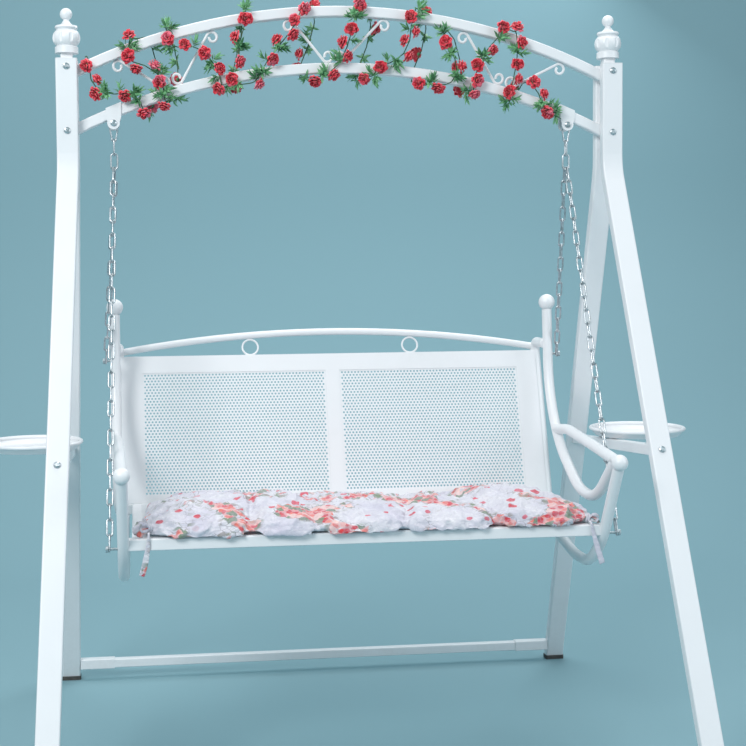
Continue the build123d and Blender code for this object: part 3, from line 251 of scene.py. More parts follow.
# Finishes of the garland
VINE_DARK, VINE_PALE = (0.012, 0.05, 0.016), (0.035, 0.12, 0.035)
# The pale pink at the petal tips is a painted highlight.
HEART_RED, OUTER_RED, RIB_RED = (0.46, 0.005, 0.018), (0.90, 0.03, 0.065), (0.34, 0.0, 0.012)
HEART_PINK, OUTER_PINK, TIP_HIGHLIGHT_PINK = (0.66, 0.03, 0.09), (0.90, 0.17, 0.25), (0.95, 0.46, 0.48)
LEAF_DARK, LEAF_PALE = (0.035, 0.20, 0.075), (0.26, 0.60, 0.29)
LEAF_BLOTCH, LEAF_VEIN = (0.04, 0.26, 0.10), (0.42, 0.66, 0.40)


def vine_skin(net):
    """Green wrapped wire with a slightly uneven twist."""
    twist = net.noise(net.object_place(), 240.0, 2.0, 0.5)
    colour = net.mix(net.span(twist, 0.35, 0.65), VINE_DARK, VINE_PALE)
    return colour, net.span(twist, 0.3, 0.7, 0.45, 0.65), twist, 0.5, 0.5 * MM


def petal_cloth(net):
    """Satin petals: darker at each petal's foot, bright red further out, a painted highlight of pale pink
    along the tips, and a few pinker blooms.
    """
    cloth = net.cloth_place()
    up = net.split(cloth)[1]
    bloom = net.split(net.cells(net.object_place(), 24.0)["Color"], "Color")
    ribs = net.noise(net.stretch(cloth, (60.0, 4.0, 1.0)), 1.0, 3.0, 0.55)
    colour = net.mix(net.span(bloom[0], 0.76, 0.82), net.mix(up, HEART_RED, OUTER_RED),
                     net.mix(up, HEART_PINK, OUTER_PINK))
    colour = net.mix(net.span(ribs, 0.35, 0.75, 0.0, 0.25), colour, RIB_RED)
    # Pale pink along the petal tips is a painted highlight.
    rim = net.times(net.span(up, 0.88, 1.0, 0.0, 0.55), net.span(ribs, 0.35, 0.6, 0.4, 1.0))
    return net.mix(rim, colour, TIP_HIGHLIGHT_PINK), net.span(ribs, 0.3, 0.7, 0.40, 0.60), ribs, 0.35, 0.4 * MM


def leaf_cloth(net):
    """Printed leaf cloth with a pale midrib and side veins."""
    cloth = net.cloth_place()
    across, up, _ = net.split(cloth)
    side = net.off(across, 0.5)
    slant = net.math("SUBTRACT", net.times(up, 9.0), net.times(side, 7.0))
    veins = net.span(net.off(net.math("FRACT", slant), 0.5), 0.05, 0.12, 0.6, 0.0)
    rib = net.math("MAXIMUM", net.span(side, 0.018, 0.05, 1.0, 0.0), veins)
    tone = net.noise(net.object_place(), 34.0, 2.0, 0.5)
    blotch = net.noise(cloth, 7.0, 3.0, 0.6)
    green = net.mix(net.span(tone, 0.36, 0.64), LEAF_DARK, LEAF_PALE)
    green = net.mix(net.span(blotch, 0.45, 0.8, 0.0, 0.5), green, LEAF_BLOTCH)
    colour = net.mix(net.times(rib, 0.55), green, LEAF_VEIN)
    return colour, net.span(blotch, 0.3, 0.7, 0.4, 0.6), net.times(rib, -1.0), 0.6, 0.5 * MM


vine_green = finish_material("vine_green", (0.02, 0.08, 0.025), 0.55, vine_skin)
rose_red = finish_material("rose_satin", (0.6, 0.012, 0.03), 0.5, petal_cloth, Sheen_Weight=0.3)
leaf_green = finish_material("leaf_cloth", (0.08, 0.30, 0.11), 0.5, leaf_cloth)


# Printed cotton of the cushion and its ties
# The lilac cotton tone and the crease tone are painted shade.
COTTON, COTTON_PAINTED_SHADE, COTTON_CREASE_SHADE = (0.77, 0.77, 0.80), (0.63, 0.62, 0.71), (0.45, 0.43, 0.54)
COTTON_SLUB, SPRIG_BROWN = (0.45, 0.44, 0.48), (0.16, 0.15, 0.14)
PRINT_GREEN, PRINT_BROWN, PRINT_DARK_GREEN = (0.20, 0.30, 0.19), (0.27, 0.20, 0.15), (0.20, 0.27, 0.17)
BUD_RED, BUD_ROSE = (0.66, 0.012, 0.022), (0.72, 0.10, 0.14)
PEONY_RED, PEONY_CORAL = (0.68, 0.012, 0.02), (0.80, 0.17, 0.12)
PEONY_PALE, PEONY_RIM = (0.88, 0.58, 0.52), (0.90, 0.72, 0.70)


def peony_petals(net, cloth):
    """Ragged petals in warm colours with a leaf here and there, and a small shift for each petal."""
    petals = net.cells(net.ragged(cloth, 75.0, 2.0, 0.016), 64.0, "F1", 0.9, "2D")
    tone = net.split(petals["Color"], "Color")
    warm = net.mix(net.span(tone[0], 0.52, 0.58), PEONY_RED, PEONY_CORAL)
    warm = net.mix(net.span(tone[1], 0.72, 0.78), warm, PEONY_PALE)
    warm = net.mix(net.span(petals["Distance"], 0.36, 0.52, 0.0, 0.5), warm, PEONY_RIM)
    warm = net.mix(net.span(tone[2], 0.84, 0.88), warm, PRINT_DARK_GREEN)
    return warm, net.span(tone[2], 0.0, 1.0, -0.035, 0.035)


def print_colour(net, cloth):
    """Off-white ground with patches of painted lilac shade, sprigs and leaves near the clusters, then buds,
    then peony clusters.
    """
    # Lilac patches of painted shade, laid at random over the off-white ground.
    colour = net.mix(net.span(net.noise(cloth, 9.0, 3.0, 0.5), 0.4, 0.7), COTTON, COTTON_PAINTED_SHADE)
    region = net.noise(cloth, 8.2, 2.0, 0.45, 0.6)
    near = net.span(region, 0.47, 0.53)
    stems = net.cells(net.stretch(cloth, (1.0, 1.5, 1.0)), 58.0, "DISTANCE_TO_EDGE", 1.0, "2D")
    sprig = net.span(stems["Distance"], 0.07, 0.035)
    colour = net.mix(net.times(net.times(sprig, near), 0.7), colour, SPRIG_BROWN)
    leaves = net.group(posy, Place=net.stretch(cloth, (1.0, 1.9, 1.0), (0.31, 0.17, 0)), Scale=34.0,
                       Size=0.40, Gap=0.35)
    colour = net.mix(net.times(net.times(leaves["Mask"], near), 0.8), colour,
                     net.mix(leaves["Tone"], PRINT_GREEN, PRINT_BROWN))
    buds = net.group(posy, Place=net.stretch(cloth, (1, 1, 1), (0.13, 0.41, 0)), Scale=23.0, Size=0.24,
                     Gap=0.66)
    colour = net.mix(buds["Mask"], colour, net.mix(buds["Tone"], BUD_RED, BUD_ROSE))
    warm, shift = peony_petals(net, cloth)
    return net.mix(net.span(net.plus(region, shift), 0.555, 0.565), colour, warm)


def floral_cotton(net):
    """Printed cotton, woven and finely crumpled, with painted shade in the creases."""
    cloth = net.cloth_place()
    threads = net.group(weave, Place=cloth, Scale=850.0)
    colour = net.mix(net.span(threads["Slub"], 0.3, 0.7, 0.0, 0.10), print_colour(net, cloth), COTTON_SLUB)
    crumple = net.span(net.off(net.noise(cloth, 62.0, 4.0, 0.55, 0.8), 0.5), 0.0, 0.16, 1.0, 0.0)
    height = net.plus(net.times(threads["Height"], 0.12), crumple)
    # The crease lines are darkened with painted shade.
    colour = net.mix(net.times(crumple, 0.34), colour, COTTON_CREASE_SHADE)
    return colour, net.span(threads["Slub"], 0.3, 0.7, 0.75, 0.9), height, 0.6, 1.6 * MM


floral = finish_material("floral_cotton", COTTON, 0.85, floral_cotton, Sheen_Weight=0.2)

SLOT_MATERIALS = {
    "white_steel": white_paint, "galvanised_steel": galvanised, "black_rubber": black_rubber,
    "white_plastic": white_plastic, "floral_fabric": floral, "vine_wire": vine_green,
    "rose_fabric": rose_red, "leaf_fabric": leaf_green,
}


# Carried-over frame pieces get the finishes
for part in frame["record"]["subparts"]:
    item = frame["nodes"][part["node"]]
    item.data.materials.clear()
    item.data.materials.append(SLOT_MATERIALS[part["material_slot"]])


# Mesh helpers
class Shape:
    """Points, faces and cloth coordinates of a mesh that is put together part by part."""

    def __init__(self):
        self.points, self.faces, self.uvs = [], [], []

    def add(self, points, faces, uvs=()):
        start = len(self.points)
        self.points.extend(points)
        self.faces.extend(tuple(start + corner for corner in face) for face in faces)
        self.uvs.extend(uvs)


def put(name, data):
    """Put a mesh, lamp or camera into the scene."""
    made = bpy.data.objects.new(name, data)
    bpy.context.scene.collection.objects.link(made)
    return made


def piece(name, shape, body, slot_name, *nodes, smooth=True):
    """Put a shape into the scene on its body, with the finish of its slot, and hide the frame parts that it
    stands for.
    """
    mesh = mesh_from(name, shape, smooth)
    mesh.materials.append(SLOT_MATERIALS[slot_name])
    made = put(name, mesh)
    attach(made, body)
    if nodes:
        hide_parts(*nodes)
    return made


def mesh_from(name, shape, smooth):
    made = bpy.data.meshes.new(name)
    made.from_pydata([tuple(point) for point in shape.points], [], shape.faces)
    if smooth:
        made.polygons.foreach_set("use_smooth", [True] * len(made.polygons))
    if shape.uvs:
        lay_uvs(made, shape.uvs)
    made.update()
    return made


def lay_uvs(mesh, uvs):
    """Cloth coordinates, given as one pair for each point."""
    layer = mesh.uv_layers.new(name="UVMap")
    index = np.empty(len(mesh.loops), dtype=np.int32)
    mesh.loops.foreach_get("vertex_index", index)
    layer.data.foreach_set("uv", np.asarray(uvs, dtype=np.float32)[index].ravel())


def mesh_places(mesh):
    """All points of a mesh as rows of an array."""
    places = np.empty(len(mesh.vertices) * 3)
    mesh.vertices.foreach_get("co", places)
    return places.reshape(-1, 3)


def move_points(mesh, places):
    mesh.vertices.foreach_set("co", places.ravel())
    mesh.update()


def thicken(made, name, thickness, offset):
    """Give a sheet its thickness."""
    solid = made.modifiers.new(name, "SOLIDIFY")
    solid.thickness = thickness
    solid.offset = offset


def round_point(radius, angle, height):
    return Vector((radius * cos(angle), radius * sin(angle), height))


def grid_faces(rows, steps, start=0):
    """Faces of a sheet with one more row, and one more point in each row, than these."""
    faces = []
    for row in range(rows):
        for step in range(steps):
            a = start + row * (steps + 1) + step
            faces.append((a, a + 1, a + steps + 2, a + steps + 1))
    return faces


def tube_faces(rings, sides, closed=False):
    """Faces between rings of points, and from the last ring to the first where it is closed."""
    faces = []
    for ring in range(rings if closed else rings - 1):
        here = ring * sides
        there = (ring + 1) % rings * sides
        for side in range(sides):
            beside = (side + 1) % sides
            faces.append((here + side, here + beside, there + beside, there + side))
    return faces


def end_faces(rings, sides):
    """Faces over both ends of such a tube."""
    last = (rings - 1) * sides
    return [tuple(reversed(range(sides))), tuple(range(last, last + sides))]


def turned(faces):
    """The same faces, seen from the other side."""
    return [(face[0], *face[:0:-1]) for face in faces]


def islands(node):
    """Corner points of each separate solid in a frame piece, duplicates dropped."""
    mesh = frame["nodes"][node].data
    points = mesh_places(mesh)
    _, first, group = np.unique(np.round(points, 6), axis=0, return_index=True, return_inverse=True)
    group = group.ravel()
    parent = list(range(len(first)))

    def root(item):
        while parent[item] != item:
            parent[item] = parent[parent[item]]
            item = parent[item]
        return item

    for polygon in mesh.polygons:
        corners = [root(group[vertex]) for vertex in polygon.vertices]
        for other in corners[1:]:
            parent[root(other)] = root(corners[0])
    sets = {}
    for item in range(len(first)):
        sets.setdefault(root(item), []).append(points[first[item]])
    return [np.array(item) for item in sorted(sets.values(), key=lambda rows: tuple(np.round(rows[0], 5)))]


def main_axes(points):
    """Centre, principal directions and half lengths along them, the longest first."""
    middle = points.mean(axis=0)
    spread = points - middle
    _, _, directions = np.linalg.svd(spread, full_matrices=False)
    offsets = spread @ directions.T
    most, least = offsets.max(axis=0), offsets.min(axis=0)
    return middle + (most + least) / 2 @ directions, directions, (most - least) / 2


# Round wire chain links in place of the plain ones
WIRE_RADIUS = 2.1 * MM
LINK_ARC_STEPS = 9
WIRE_SIDES = 12


def link_route(half):
    """Flat oval along the middle of a link's wire, as pairs of along and across."""
    bend = half[1] - WIRE_RADIUS
    straight = half[0] - WIRE_RADIUS - bend
    route = []
    for end in (1, -1):
        for step in range(LINK_ARC_STEPS + 1):
            angle = pi * step / LINK_ARC_STEPS
            route.append((end * (straight + bend * sin(angle)), end * bend * cos(angle)))
    return route


def round_links(node):
    """Round wire links, one for each plain link of a chain."""
    shape = Shape()
    for corners in islands(node):
        centre, axes, half = main_axes(corners)
        route = link_route(half)
        count = len(route)
        points = []
        for index, (along, across) in enumerate(route):
            before, after = route[index - 1], route[(index + 1) % count]
            heading = Vector((after[0] - before[0], after[1] - before[1], 0)).normalized()
            for turn in range(WIRE_SIDES):
                angle = 2 * pi * turn / WIRE_SIDES
                out, lift = cos(angle) * WIRE_RADIUS, sin(angle) * WIRE_RADIUS
                points.append(centre + (along - heading.y * out) * axes[0]
                              + (across + heading.x * out) * axes[1] + lift * axes[2])
        shape.add(points, tube_faces(count, WIRE_SIDES, closed=True))
    return shape


for node in ("upper_chain_links", "front_chain_left", "front_chain_right", "rear_chain_left",
             "rear_chain_right"):
    piece(f"{node}_welded", round_links(node), "swing", "galvanised_steel", node)


# Punched sheets
HOLE_PITCH = 8.7 * MM
HOLE_RADIUS = 2.6 * MM
HOLE_SIDES = 12
ROW_SHARE = 0.866


class SheetPlan:
    """A flat plate with fields of staggered round holes, as one shared set of points."""

    def __init__(self):
        self.points = []
        self.index = {}
        self.faces = []

    def point(self, x, y):
        key = (round(x * 1e6), round(y * 1e6))
        if key not in self.index:
            self.index[key] = len(self.points)
            self.points.append((x, y))
        return self.index[key]

    def face(self, corners):
        self.faces.append([self.point(*corner) for corner in corners])

    def cell(self, left, bottom, width, top):
        """Brick-shaped cell round one hole: a face for each sixth of its rim."""
        middle, right, centre_y = left + width / 2, left + width, (bottom + top) / 2
        outer = [self.point(*corner) for corner in (
            (right, bottom), (right, top), (middle, top), (left, top), (left, bottom), (middle, bottom))]
        inner = []
        for turn in range(HOLE_SIDES):
            angle = 2 * pi * turn / HOLE_SIDES - pi / 6
            inner.append(self.point(middle + HOLE_RADIUS * cos(angle), centre_y + HOLE_RADIUS * sin(angle)))
        for side in range(6):
            arc = [inner[(2 * side + step) % HOLE_SIDES] for step in (2, 1, 0)]
            self.faces.append([outer[side], outer[(side + 1) % 6], *arc])

    def field(self, low_x, low_y, high_x, high_y):
        """Fill a rectangle with rows of cells, every other row set off by half a cell.

        Returns the places of its edge points across and up.
        """
        columns = round((high_x - low_x) / HOLE_PITCH)
        rows = round((high_y - low_y) / (HOLE_PITCH * ROW_SHARE))
        width, height = (high_x - low_x) / columns, (high_y - low_y) / rows
        for row in range(rows):
            bottom, top = low_y + row * height, low_y + (row + 1) * height
            odd = row % 2
            if odd:
                for left in (low_x, high_x - width / 2):
                    middle = left + width / 2
                    self.face(((left, bottom), (middle, bottom), (middle, top), (left, top)))
            for column in range(columns - odd):
                self.cell(low_x + (column + odd / 2) * width, bottom, width, top)
        across = [low_x + step * width / 2 for step in range(2 * columns + 1)]
        upright = [low_y + step * height for step in range(rows + 1)]
        return across, upright

    def plain(self, low_x, low_y, high_x, high_y, below=(), above=(), left=(), right=()):
        """Plain rectangle whose edges take up the points of the fields beside it."""
        ring = [(low_x, low_y)]
        ring += [(x, low_y) for x in sorted(below) if low_x < x < high_x]
        ring += [(high_x, low_y)]
        ring += [(high_x, y) for y in sorted(right) if low_y < y < high_y]
        ring += [(high_x, high_y)]
        ring += [(x, high_y) for x in sorted(above, reverse=True) if low_x < x < high_x]
        ring += [(low_x, high_y)]
        ring += [(low_x, y) for y in sorted(left, reverse=True) if low_y < y < high_y]
        self.face(ring)


def punched_plate(outline, fields):
    """Plate over outline with holes in each field, as flat points and faces."""
    plan = SheetPlan()
    low_x, low_y, high_x, high_y = outline
    edges = [plan.field(*box) for box in fields]
    bottom, top = fields[0][1], fields[0][3]
    upright = edges[0][1]
    across = [x for edge in edges for x in edge[0]]
    plan.plain(low_x, low_y, high_x, bottom, above=across)
    plan.plain(low_x, top, high_x, high_y, below=across)
    plan.plain(low_x, bottom, fields[0][0], top, right=upright)
    plan.plain(fields[-1][2], bottom, high_x, top, left=upright)
    for first, second in zip(fields, fields[1:]):
        plan.plain(first[2], bottom, second[0], top, left=upright, right=upright)
    return plan


def punched_sheet(name, outline, fields, place, thickness, node):
    """Sheet of metal with open holes. place gives each flat point its place on the swing."""
    plan = punched_plate(outline, fields)
    shape = Shape()
    shape.add([place(x, y) for x, y in plan.points], plan.faces)
    made = piece(name, shape, "swing", "white_steel", node, smooth=False)
    thicken(made, "thickness", thickness, -1)


BACK_LEAN = radians(16.9)
BACK_FOOT_Y = 138.0 * MM
SEAT_TOP = 565.0 * MM
BACK_SHEET_HALF = 534.0 * MM
BACK_SHEET_LOW, BACK_SHEET_HIGH = 1.3 * MM, 351.5 * MM
BACK_SHEET_BEHIND = 1.6 * MM
BACK_SHEET_THICKNESS = 1.35 * MM
BACK_FIELD_INNER, BACK_FIELD_OUTER = 20.5 * MM, 486.5 * MM
BACK_FIELD_LOW, BACK_FIELD_HIGH = 21.5 * MM, 330.5 * MM
SEAT_MARGIN = 16 * MM


def back_place(behind):
    """Places points of the leaning back: across, up along the lean, behind the front face."""
    def place(x, up):
        return (x, BACK_FOOT_Y + up * sin(BACK_LEAN) + behind * cos(BACK_LEAN),
                SEAT_TOP + up * cos(BACK_LEAN) - behind * sin(BACK_LEAN))
    return place


def back_grille():
    fields = [(-BACK_FIELD_OUTER, BACK_FIELD_LOW, -BACK_FIELD_INNER, BACK_FIELD_HIGH),
              (BACK_FIELD_INNER, BACK_FIELD_LOW, BACK_FIELD_OUTER, BACK_FIELD_HIGH)]
    outline = (-BACK_SHEET_HALF, BACK_SHEET_LOW, BACK_SHEET_HALF, BACK_SHEET_HIGH)
    punched_sheet("back_punched_sheet", outline, fields, back_place(BACK_SHEET_BEHIND),
                  BACK_SHEET_THICKNESS, "back_mesh")


def seat_grille():
    low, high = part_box("seat_mesh")
    field = (low.x + SEAT_MARGIN, low.y + SEAT_MARGIN, high.x - SEAT_MARGIN, high.y - SEAT_MARGIN)
    punched_sheet("seat_punched_sheet", (low.x, low.y, high.x, high.y), [field],
                  lambda x, y: (x, y, high.z), high.z - low.z, "seat_mesh")


back_grille()
seat_grille()


# Caps on the open ends of the back's uprights, where they meet the outer tubes
CAP_DOME = 1.6 * MM
CAP_DEPTH = 1 * MM
CAP_RINGS = 5
CAP_SIDES = 32


def upright_cap(node):
    """Low dome over the forward end of an upright: points and faces."""
    low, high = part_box(node)
    radius = (high.x - low.x) / 2
    points = mesh_places(frame["nodes"][node].data)
    crown = points[points[:, 2] > high.z - 2 * radius - 1 * MM]
    centre = Vector(((low.x + high.x) / 2, crown[:, 1].min(), high.z - radius))
    rings = [(radius, CAP_DEPTH)]
    for ring in range(CAP_RINGS):
        share = 1 - ring / CAP_RINGS
        rings.append((radius * share, -CAP_DOME * (1 - share ** 4)))
    made = []
    for reach, y in rings:
        for side in range(CAP_SIDES):
            angle = 2 * pi * side / CAP_SIDES
            made.append(centre + Vector((reach * cos(angle), y, reach * sin(angle))))
    tip = len(made)
    made.append(centre + Vector((0, -CAP_DOME, 0)))
    faces = tube_faces(len(rings), CAP_SIDES) + [tuple(reversed(range(CAP_SIDES)))]
    last = tip - CAP_SIDES
    faces += [(last + side, last + (side + 1) % CAP_SIDES, tip) for side in range(CAP_SIDES)]
    return made, faces


def cap_uprights():
    shape = Shape()
    for node in ("back_upright_left", "back_upright_right"):
        shape.add(*upright_cap(node))
    piece("upright_end_caps", shape, "swing", "white_steel")


cap_uprights()


# Garland: roses and leaves in the places that the frame gives
vine_points = mesh_places(frame["nodes"]["garland_vine"].data)


def nearest_vine(point):
    """The point of the vine's surface that is closest to a place."""
    return vine_points[np.argmin(((vine_points - point) ** 2).sum(axis=1))]


def frame_from(origin, up, across):
    """Local axes at a point: Z along up, X near across."""
    up = Vector(up).normalized()
    across = Vector(across)
    across = (across - up * across.dot(up)).normalized()
    return Matrix((across, up.cross(across), up)).transposed().to_4x4(), Vector(origin)


BEAM_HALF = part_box("upper_beam")[1].y
BEAM_ROOM = 0.7 * MM
FACE_SHARE = 0.8


def beam_circle(node):
    """Height of the centre and radius of the arc that an arched beam follows."""
    low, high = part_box(node)
    rise = high.z - low.z - 2 * BEAM_HALF
    inner = (high.x ** 2 + rise ** 2) / (2 * rise)
    radius = inner + BEAM_HALF
    return high.z - BEAM_HALF - radius, radius


BEAM_CIRCLES = [beam_circle(node) for node in ("upper_beam", "lower_beam")]


def off_beams(point, anchor):
    """Move a point out of the beams, to the side that its flower or leaf is on."""
    reach = BEAM_HALF + BEAM_ROOM
    for centre_z, radius in BEAM_CIRCLES:
        outward = Vector((point.x, 0, point.z - centre_z))
        away = outward.length - radius
        if abs(away) >= reach or abs(point.y) >= reach:
            continue
        if abs(anchor.y) > BEAM_HALF * FACE_SHARE:
            point.y = reach if anchor.y > 0 else -reach
        else:
            side = 1 if hypot(anchor.x, anchor.z - centre_z) > radius else -1
            point += outward.normalized() * (side * reach - away)
    return point


# Petals of a rose, ring by ring: how many, reach, height, half width in radians, curl and lift in mm
ROSE_RINGS = (
    (5, 15.0, 10.0, 0.72, 7.5, 1.0), (5, 13.2, 13.5, 0.68, 5.0, 2.2), (4, 10.4, 15.5, 0.78, 2.5, 3.6),
    (3, 7.4, 16.0, 0.95, 0.8, 4.6), (3, 4.2, 15.2, 1.1, 0.0, 5.6))
PETAL_STEPS = 6
RUFFLE, RIM_WAVE = 0.9 * MM, 0.7 * MM
SIDE_DIP, CORNER_DROP = 1.6 * MM, 2.2 * MM
PETAL_THICKNESS, LEAF_THICKNESS = 0.35 * MM, 0.4 * MM
CALYX_LEVELS = ((0.0, 1.6), (2.0, 3.4), (5.0, 4.8), (7.0, 4.2))
CALYX_SIDES = 10


def petal(radius, height, width, curl, lift, turn, seed):
    """One cupped petal in the rose's own axes."""
    points, uvs = [], []
    for row in range(PETAL_STEPS + 1):
        up = row / PETAL_STEPS
        reach = radius * (0.12 + 0.88 * up ** 0.75)
        rise = lift + height * sin(up * pi * 0.5) - curl * max(up - 0.6, 0) ** 2 * 3
        half = width * sin(pi * (0.12 + 0.80 * up)) ** 0.55
        ruffle = RUFFLE * sin(up * 5 + seed)
        for step in range(PETAL_STEPS + 1):
            side = 2 * step / PETAL_STEPS - 1
            wave = ruffle + RIM_WAVE * sin(side * 4 + seed * 3) * up
            points.append(round_point(reach - SIDE_DIP * side * side * up + wave, turn + side * half,
                                      rise - CORNER_DROP * abs(side) ** 3 * up))
            uvs.append((step / PETAL_STEPS, up))
    return points, grid_faces(PETAL_STEPS, PETAL_STEPS), uvs


def rose_petals(seed):
    """Petals from the open outside to the closed heart."""
    for index, (count, radius, height, width, curl, lift) in enumerate(ROSE_RINGS):
        for item in range(count):
            turn = 2 * pi * item / count + index * 0.7 + seed
            vary = 1 + 0.07 * sin(seed * 7 + item * 2.3 + index)
            yield petal(radius * vary * MM, height * MM * (0.94 + 0.06 * sin(seed * 5 + item)), width,
                        curl * MM, lift * MM, turn, seed + item)


def calyx(seed):
    """Green cup under a rose."""
    points, uvs = [], []
    for height, radius in CALYX_LEVELS:
        for step in range(CALYX_SIDES):
            points.append(round_point(radius * MM, 2 * pi * step / CALYX_SIDES + seed, height * MM))
            uvs.append((step / CALYX_SIDES, height / CALYX_LEVELS[-1][0]))
    rings = len(CALYX_LEVELS)
    return points, tube_faces(rings, CALYX_SIDES) + end_faces(rings, CALYX_SIDES), uvs


def rose_place(corners):
    """Where a plain bloom sits: its middle, its foot and the way it faces."""
    middle = corners.mean(axis=0)
    offsets = corners - middle
    values, vectors = np.linalg.eigh(offsets.T @ offsets)
    spare = [abs(values[1] - values[2]), abs(values[0] - values[2]), abs(values[0] - values[1])]
    axis = vectors[:, int(np.argmin(spare))]
    if np.dot(axis, middle - nearest_vine(middle)) < 0:
        axis = -axis
    return middle, middle + axis * (offsets @ axis).min(), axis


def grow_roses():
    """All the roses of the garland as one piece of cloth petals, and their green cups."""
    petals, cups = Shape(), Shape()
    for index, corners in enumerate(islands("rose_blooms")):
        middle, foot, axis = rose_place(corners)
        turn, origin = frame_from(foot, axis, (0.3, 0.2, 1))
        seed = index * 1.7
        size = 1.08 + 0.16 * (0.5 + 0.5 * sin(index * 2.1))
        anchor = Vector(middle)
        for target, parts in ((petals, rose_petals(seed)), (cups, [calyx(seed)])):
            for points, faces, uvs in parts:
                places = [off_beams(origin + (turn @ (point * size)), anchor) for point in points]
                target.add(places, faces, uvs)
    blooms = piece("rose_petals", petals, "stand", "rose_fabric", "rose_blooms")
    thicken(blooms, "cloth", PETAL_THICKNESS, 0)
    piece("rose_cups", cups, "stand", "leaf_fabric")


def leaflet(length, width, bend, seed):
    """Narrow pointed leaflet with a folded midrib and a bent tip, along Z."""
    rows = 6
    points, uvs = [], []
    for row in range(rows + 1):
        up = row / rows
        half = width / 2 * (sin(pi * up ** 0.75) ** 0.9 if 0 < row < rows else 0.06)
        for side in (-1, 0, 1):
            fold = 0.30 * half * abs(side) + 0.5 * MM * sin(up * 7 + seed)
            points.append(Vector((side * half, bend * up * up + fold, length * up)))
            uvs.append(((side + 1) / 2, up))
    return points, grid_faces(rows, 2), uvs


LEAFLETS = 9
GOLDEN_TURN = radians(137.5)


def spray(length, seed):
    """Leaflets spread round a short stem: the lower ones lean out, the last one stands up."""
    for item in range(LEAFLETS):
        share = item / (LEAFLETS - 1)
        lean = radians(74 - 58 * share + 9 * sin(seed * 3 + item))
        size = length * (0.68 + 0.11 * sin(seed + 2.3 * item))
        points, faces, uvs = leaflet(size, size * 0.30, 3 * MM * sin(seed * 2 + item), seed + item)
        tilt = Matrix.Rotation(item * GOLDEN_TURN + seed, 4, "Z") @ Matrix.Rotation(lean, 4, "X")
        root = Vector((0, 0, length * 0.42 * share))
        yield [root + tilt @ point for point in points], faces, uvs


def grow_leaves():
    """Sprays of leaflets on the vine, one spray for each leaf of the frame."""
    cloud = Shape()
    for index, corners in enumerate(islands("rose_leaves")):
        spans = ((corners[:, None, :] - corners[None, :, :]) ** 2).sum(axis=2)
        one, two = np.unravel_index(np.argmax(spans), spans.shape)
        base, tip = (Vector(end) for end in sorted(
            (corners[one], corners[two]), key=lambda end: ((nearest_vine(end) - end) ** 2).sum()))
        middle, axes, _ = main_axes(corners)
        turn, origin = frame_from(base, tip - base, axes[1])
        anchor = Vector(middle)
        for points, faces, uvs in spray((tip - base).length, index * 1.3):
            cloud.add([off_beams(origin + turn @ point, anchor) for point in points], faces, uvs)
    leaves = piece("rose_foliage", cloud, "stand", "leaf_fabric", "rose_leaves")
    thicken(leaves, "cloth", LEAF_THICKNESS, 0)


grow_roses()
grow_leaves()


# Seat cushion: places along it are shares of its length from the middle, -0.5 to 0.5
CUSHION_LOW, CUSHION_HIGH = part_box("seat_cushion")
CUSHION_MIDDLE = (CUSHION_LOW + CUSHION_HIGH) / 2
CUSHION_LENGTH = CUSHION_HIGH.x - CUSHION_LOW.x
CUSHION_HALF_DEPTH = (CUSHION_HIGH.y - CUSHION_LOW.y) / 2
CROWN_SHARES = (-0.5, -0.473, -0.438, -0.411, -0.373, -0.31, -0.248, -0.19, -0.093, -0.048, 0.045,
                0.137, 0.2, 0.222, 0.241, 0.285, 0.32, 0.35, 0.398, 0.44, 0.468, 0.5)
CROWN_HEIGHTS = tuple(height * MM for height in (
    15, 34, 52, 59, 60, 61, 66, 62, 47, 50, 42, 46, 46, 40, 48, 57, 63, 66, 60, 49, 36, 15))
FRONT_HEIGHT = 36 * MM
REAR_HEIGHT = 8 * MM
REAR_FALL = 40 * MM
CROWN_ACROSS = -0.25
END_RUN = 70 * MM
EDGE_POWER = 11
RAIL_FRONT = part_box("seat_front_rail")[0].y
HANG_DROP = 9 * MM
BELLY_SHARE = 0.22
BELLY_LIFT = 0.4 * MM
SECTION_STEPS = 44
SECTION_COLUMNS = 190
# Each gather: its share along the cushion, how far it slants towards the back, and its strength
GATHERS = ((-0.266, 0.030, 1.0), (-0.118, -0.035, 0.75), (0.066, 0.085, 0.9), (0.276, -0.060, 1.0))
KNOTS = tuple(Vector([item * MM for item in place]) for place in ((-481, -303, 586), (503, -306, 578)))
NECK_ROOTS = tuple(Vector([item * MM for item in place]) for place in ((-452, -280, 584), (470, -280, 582)))
NECK_RINGS, NECK_SIDES = 10, 20
VOXEL_SIZE = 5 * MM
LAST_CLOTH_FRAME = 14
SWELL_LIMIT = 7 * MM
FOLD_REACH = 0.16
ROOM_BELOW = np.array((8, 16, 12)) * MM
ROOM_ABOVE = np.array((8, 6, 9)) * MM


def limited(value, low, high):
    return min(max(value, low), high)


def gather_depth(share, across):
    """How deep a gather is at a place: deepest at the front, where the cloth is drawn together."""
    depth = 0.0
    for middle, slant, strength in GATHERS:
        away = (share - middle - slant * (across + 1) / 2) * CUSHION_LENGTH
        wide = 12 * MM + 14 * MM * (across + 1) / 2
        depth = max(depth, strength * exp(-(away / wide) ** 2) * (1.0 - 0.36 * (across + 1)))
    return max(depth, 0.0)


def cushion_top(share, across):
    """Height of the cloth above the seat. across runs from -1 at the front to 1 at the back."""
    crown = float(np.interp(share, CROWN_SHARES, CROWN_HEIGHTS))
    ends = min((0.5 - abs(share)) * CUSHION_LENGTH / END_RUN, 1) ** 0.5
    front, rear = FRONT_HEIGHT * (0.42 + 0.58 * ends), max(crown - REAR_FALL, REAR_HEIGHT)
    behind = (across - CROWN_ACROSS) / (1 - CROWN_ACROSS)
    if behind < 0:
        return front + (crown - front) * sin(pi / 2 * (across + 1) / (CROWN_ACROSS + 1))
    return crown - (crown - rear) * behind ** 1.15


def hang_over(y):
    """How far the cloth drops in front of the rail at a place."""
    return HANG_DROP * limited((RAIL_FRONT - 1.5 * MM - y) / HANG_DROP, 0, 1)


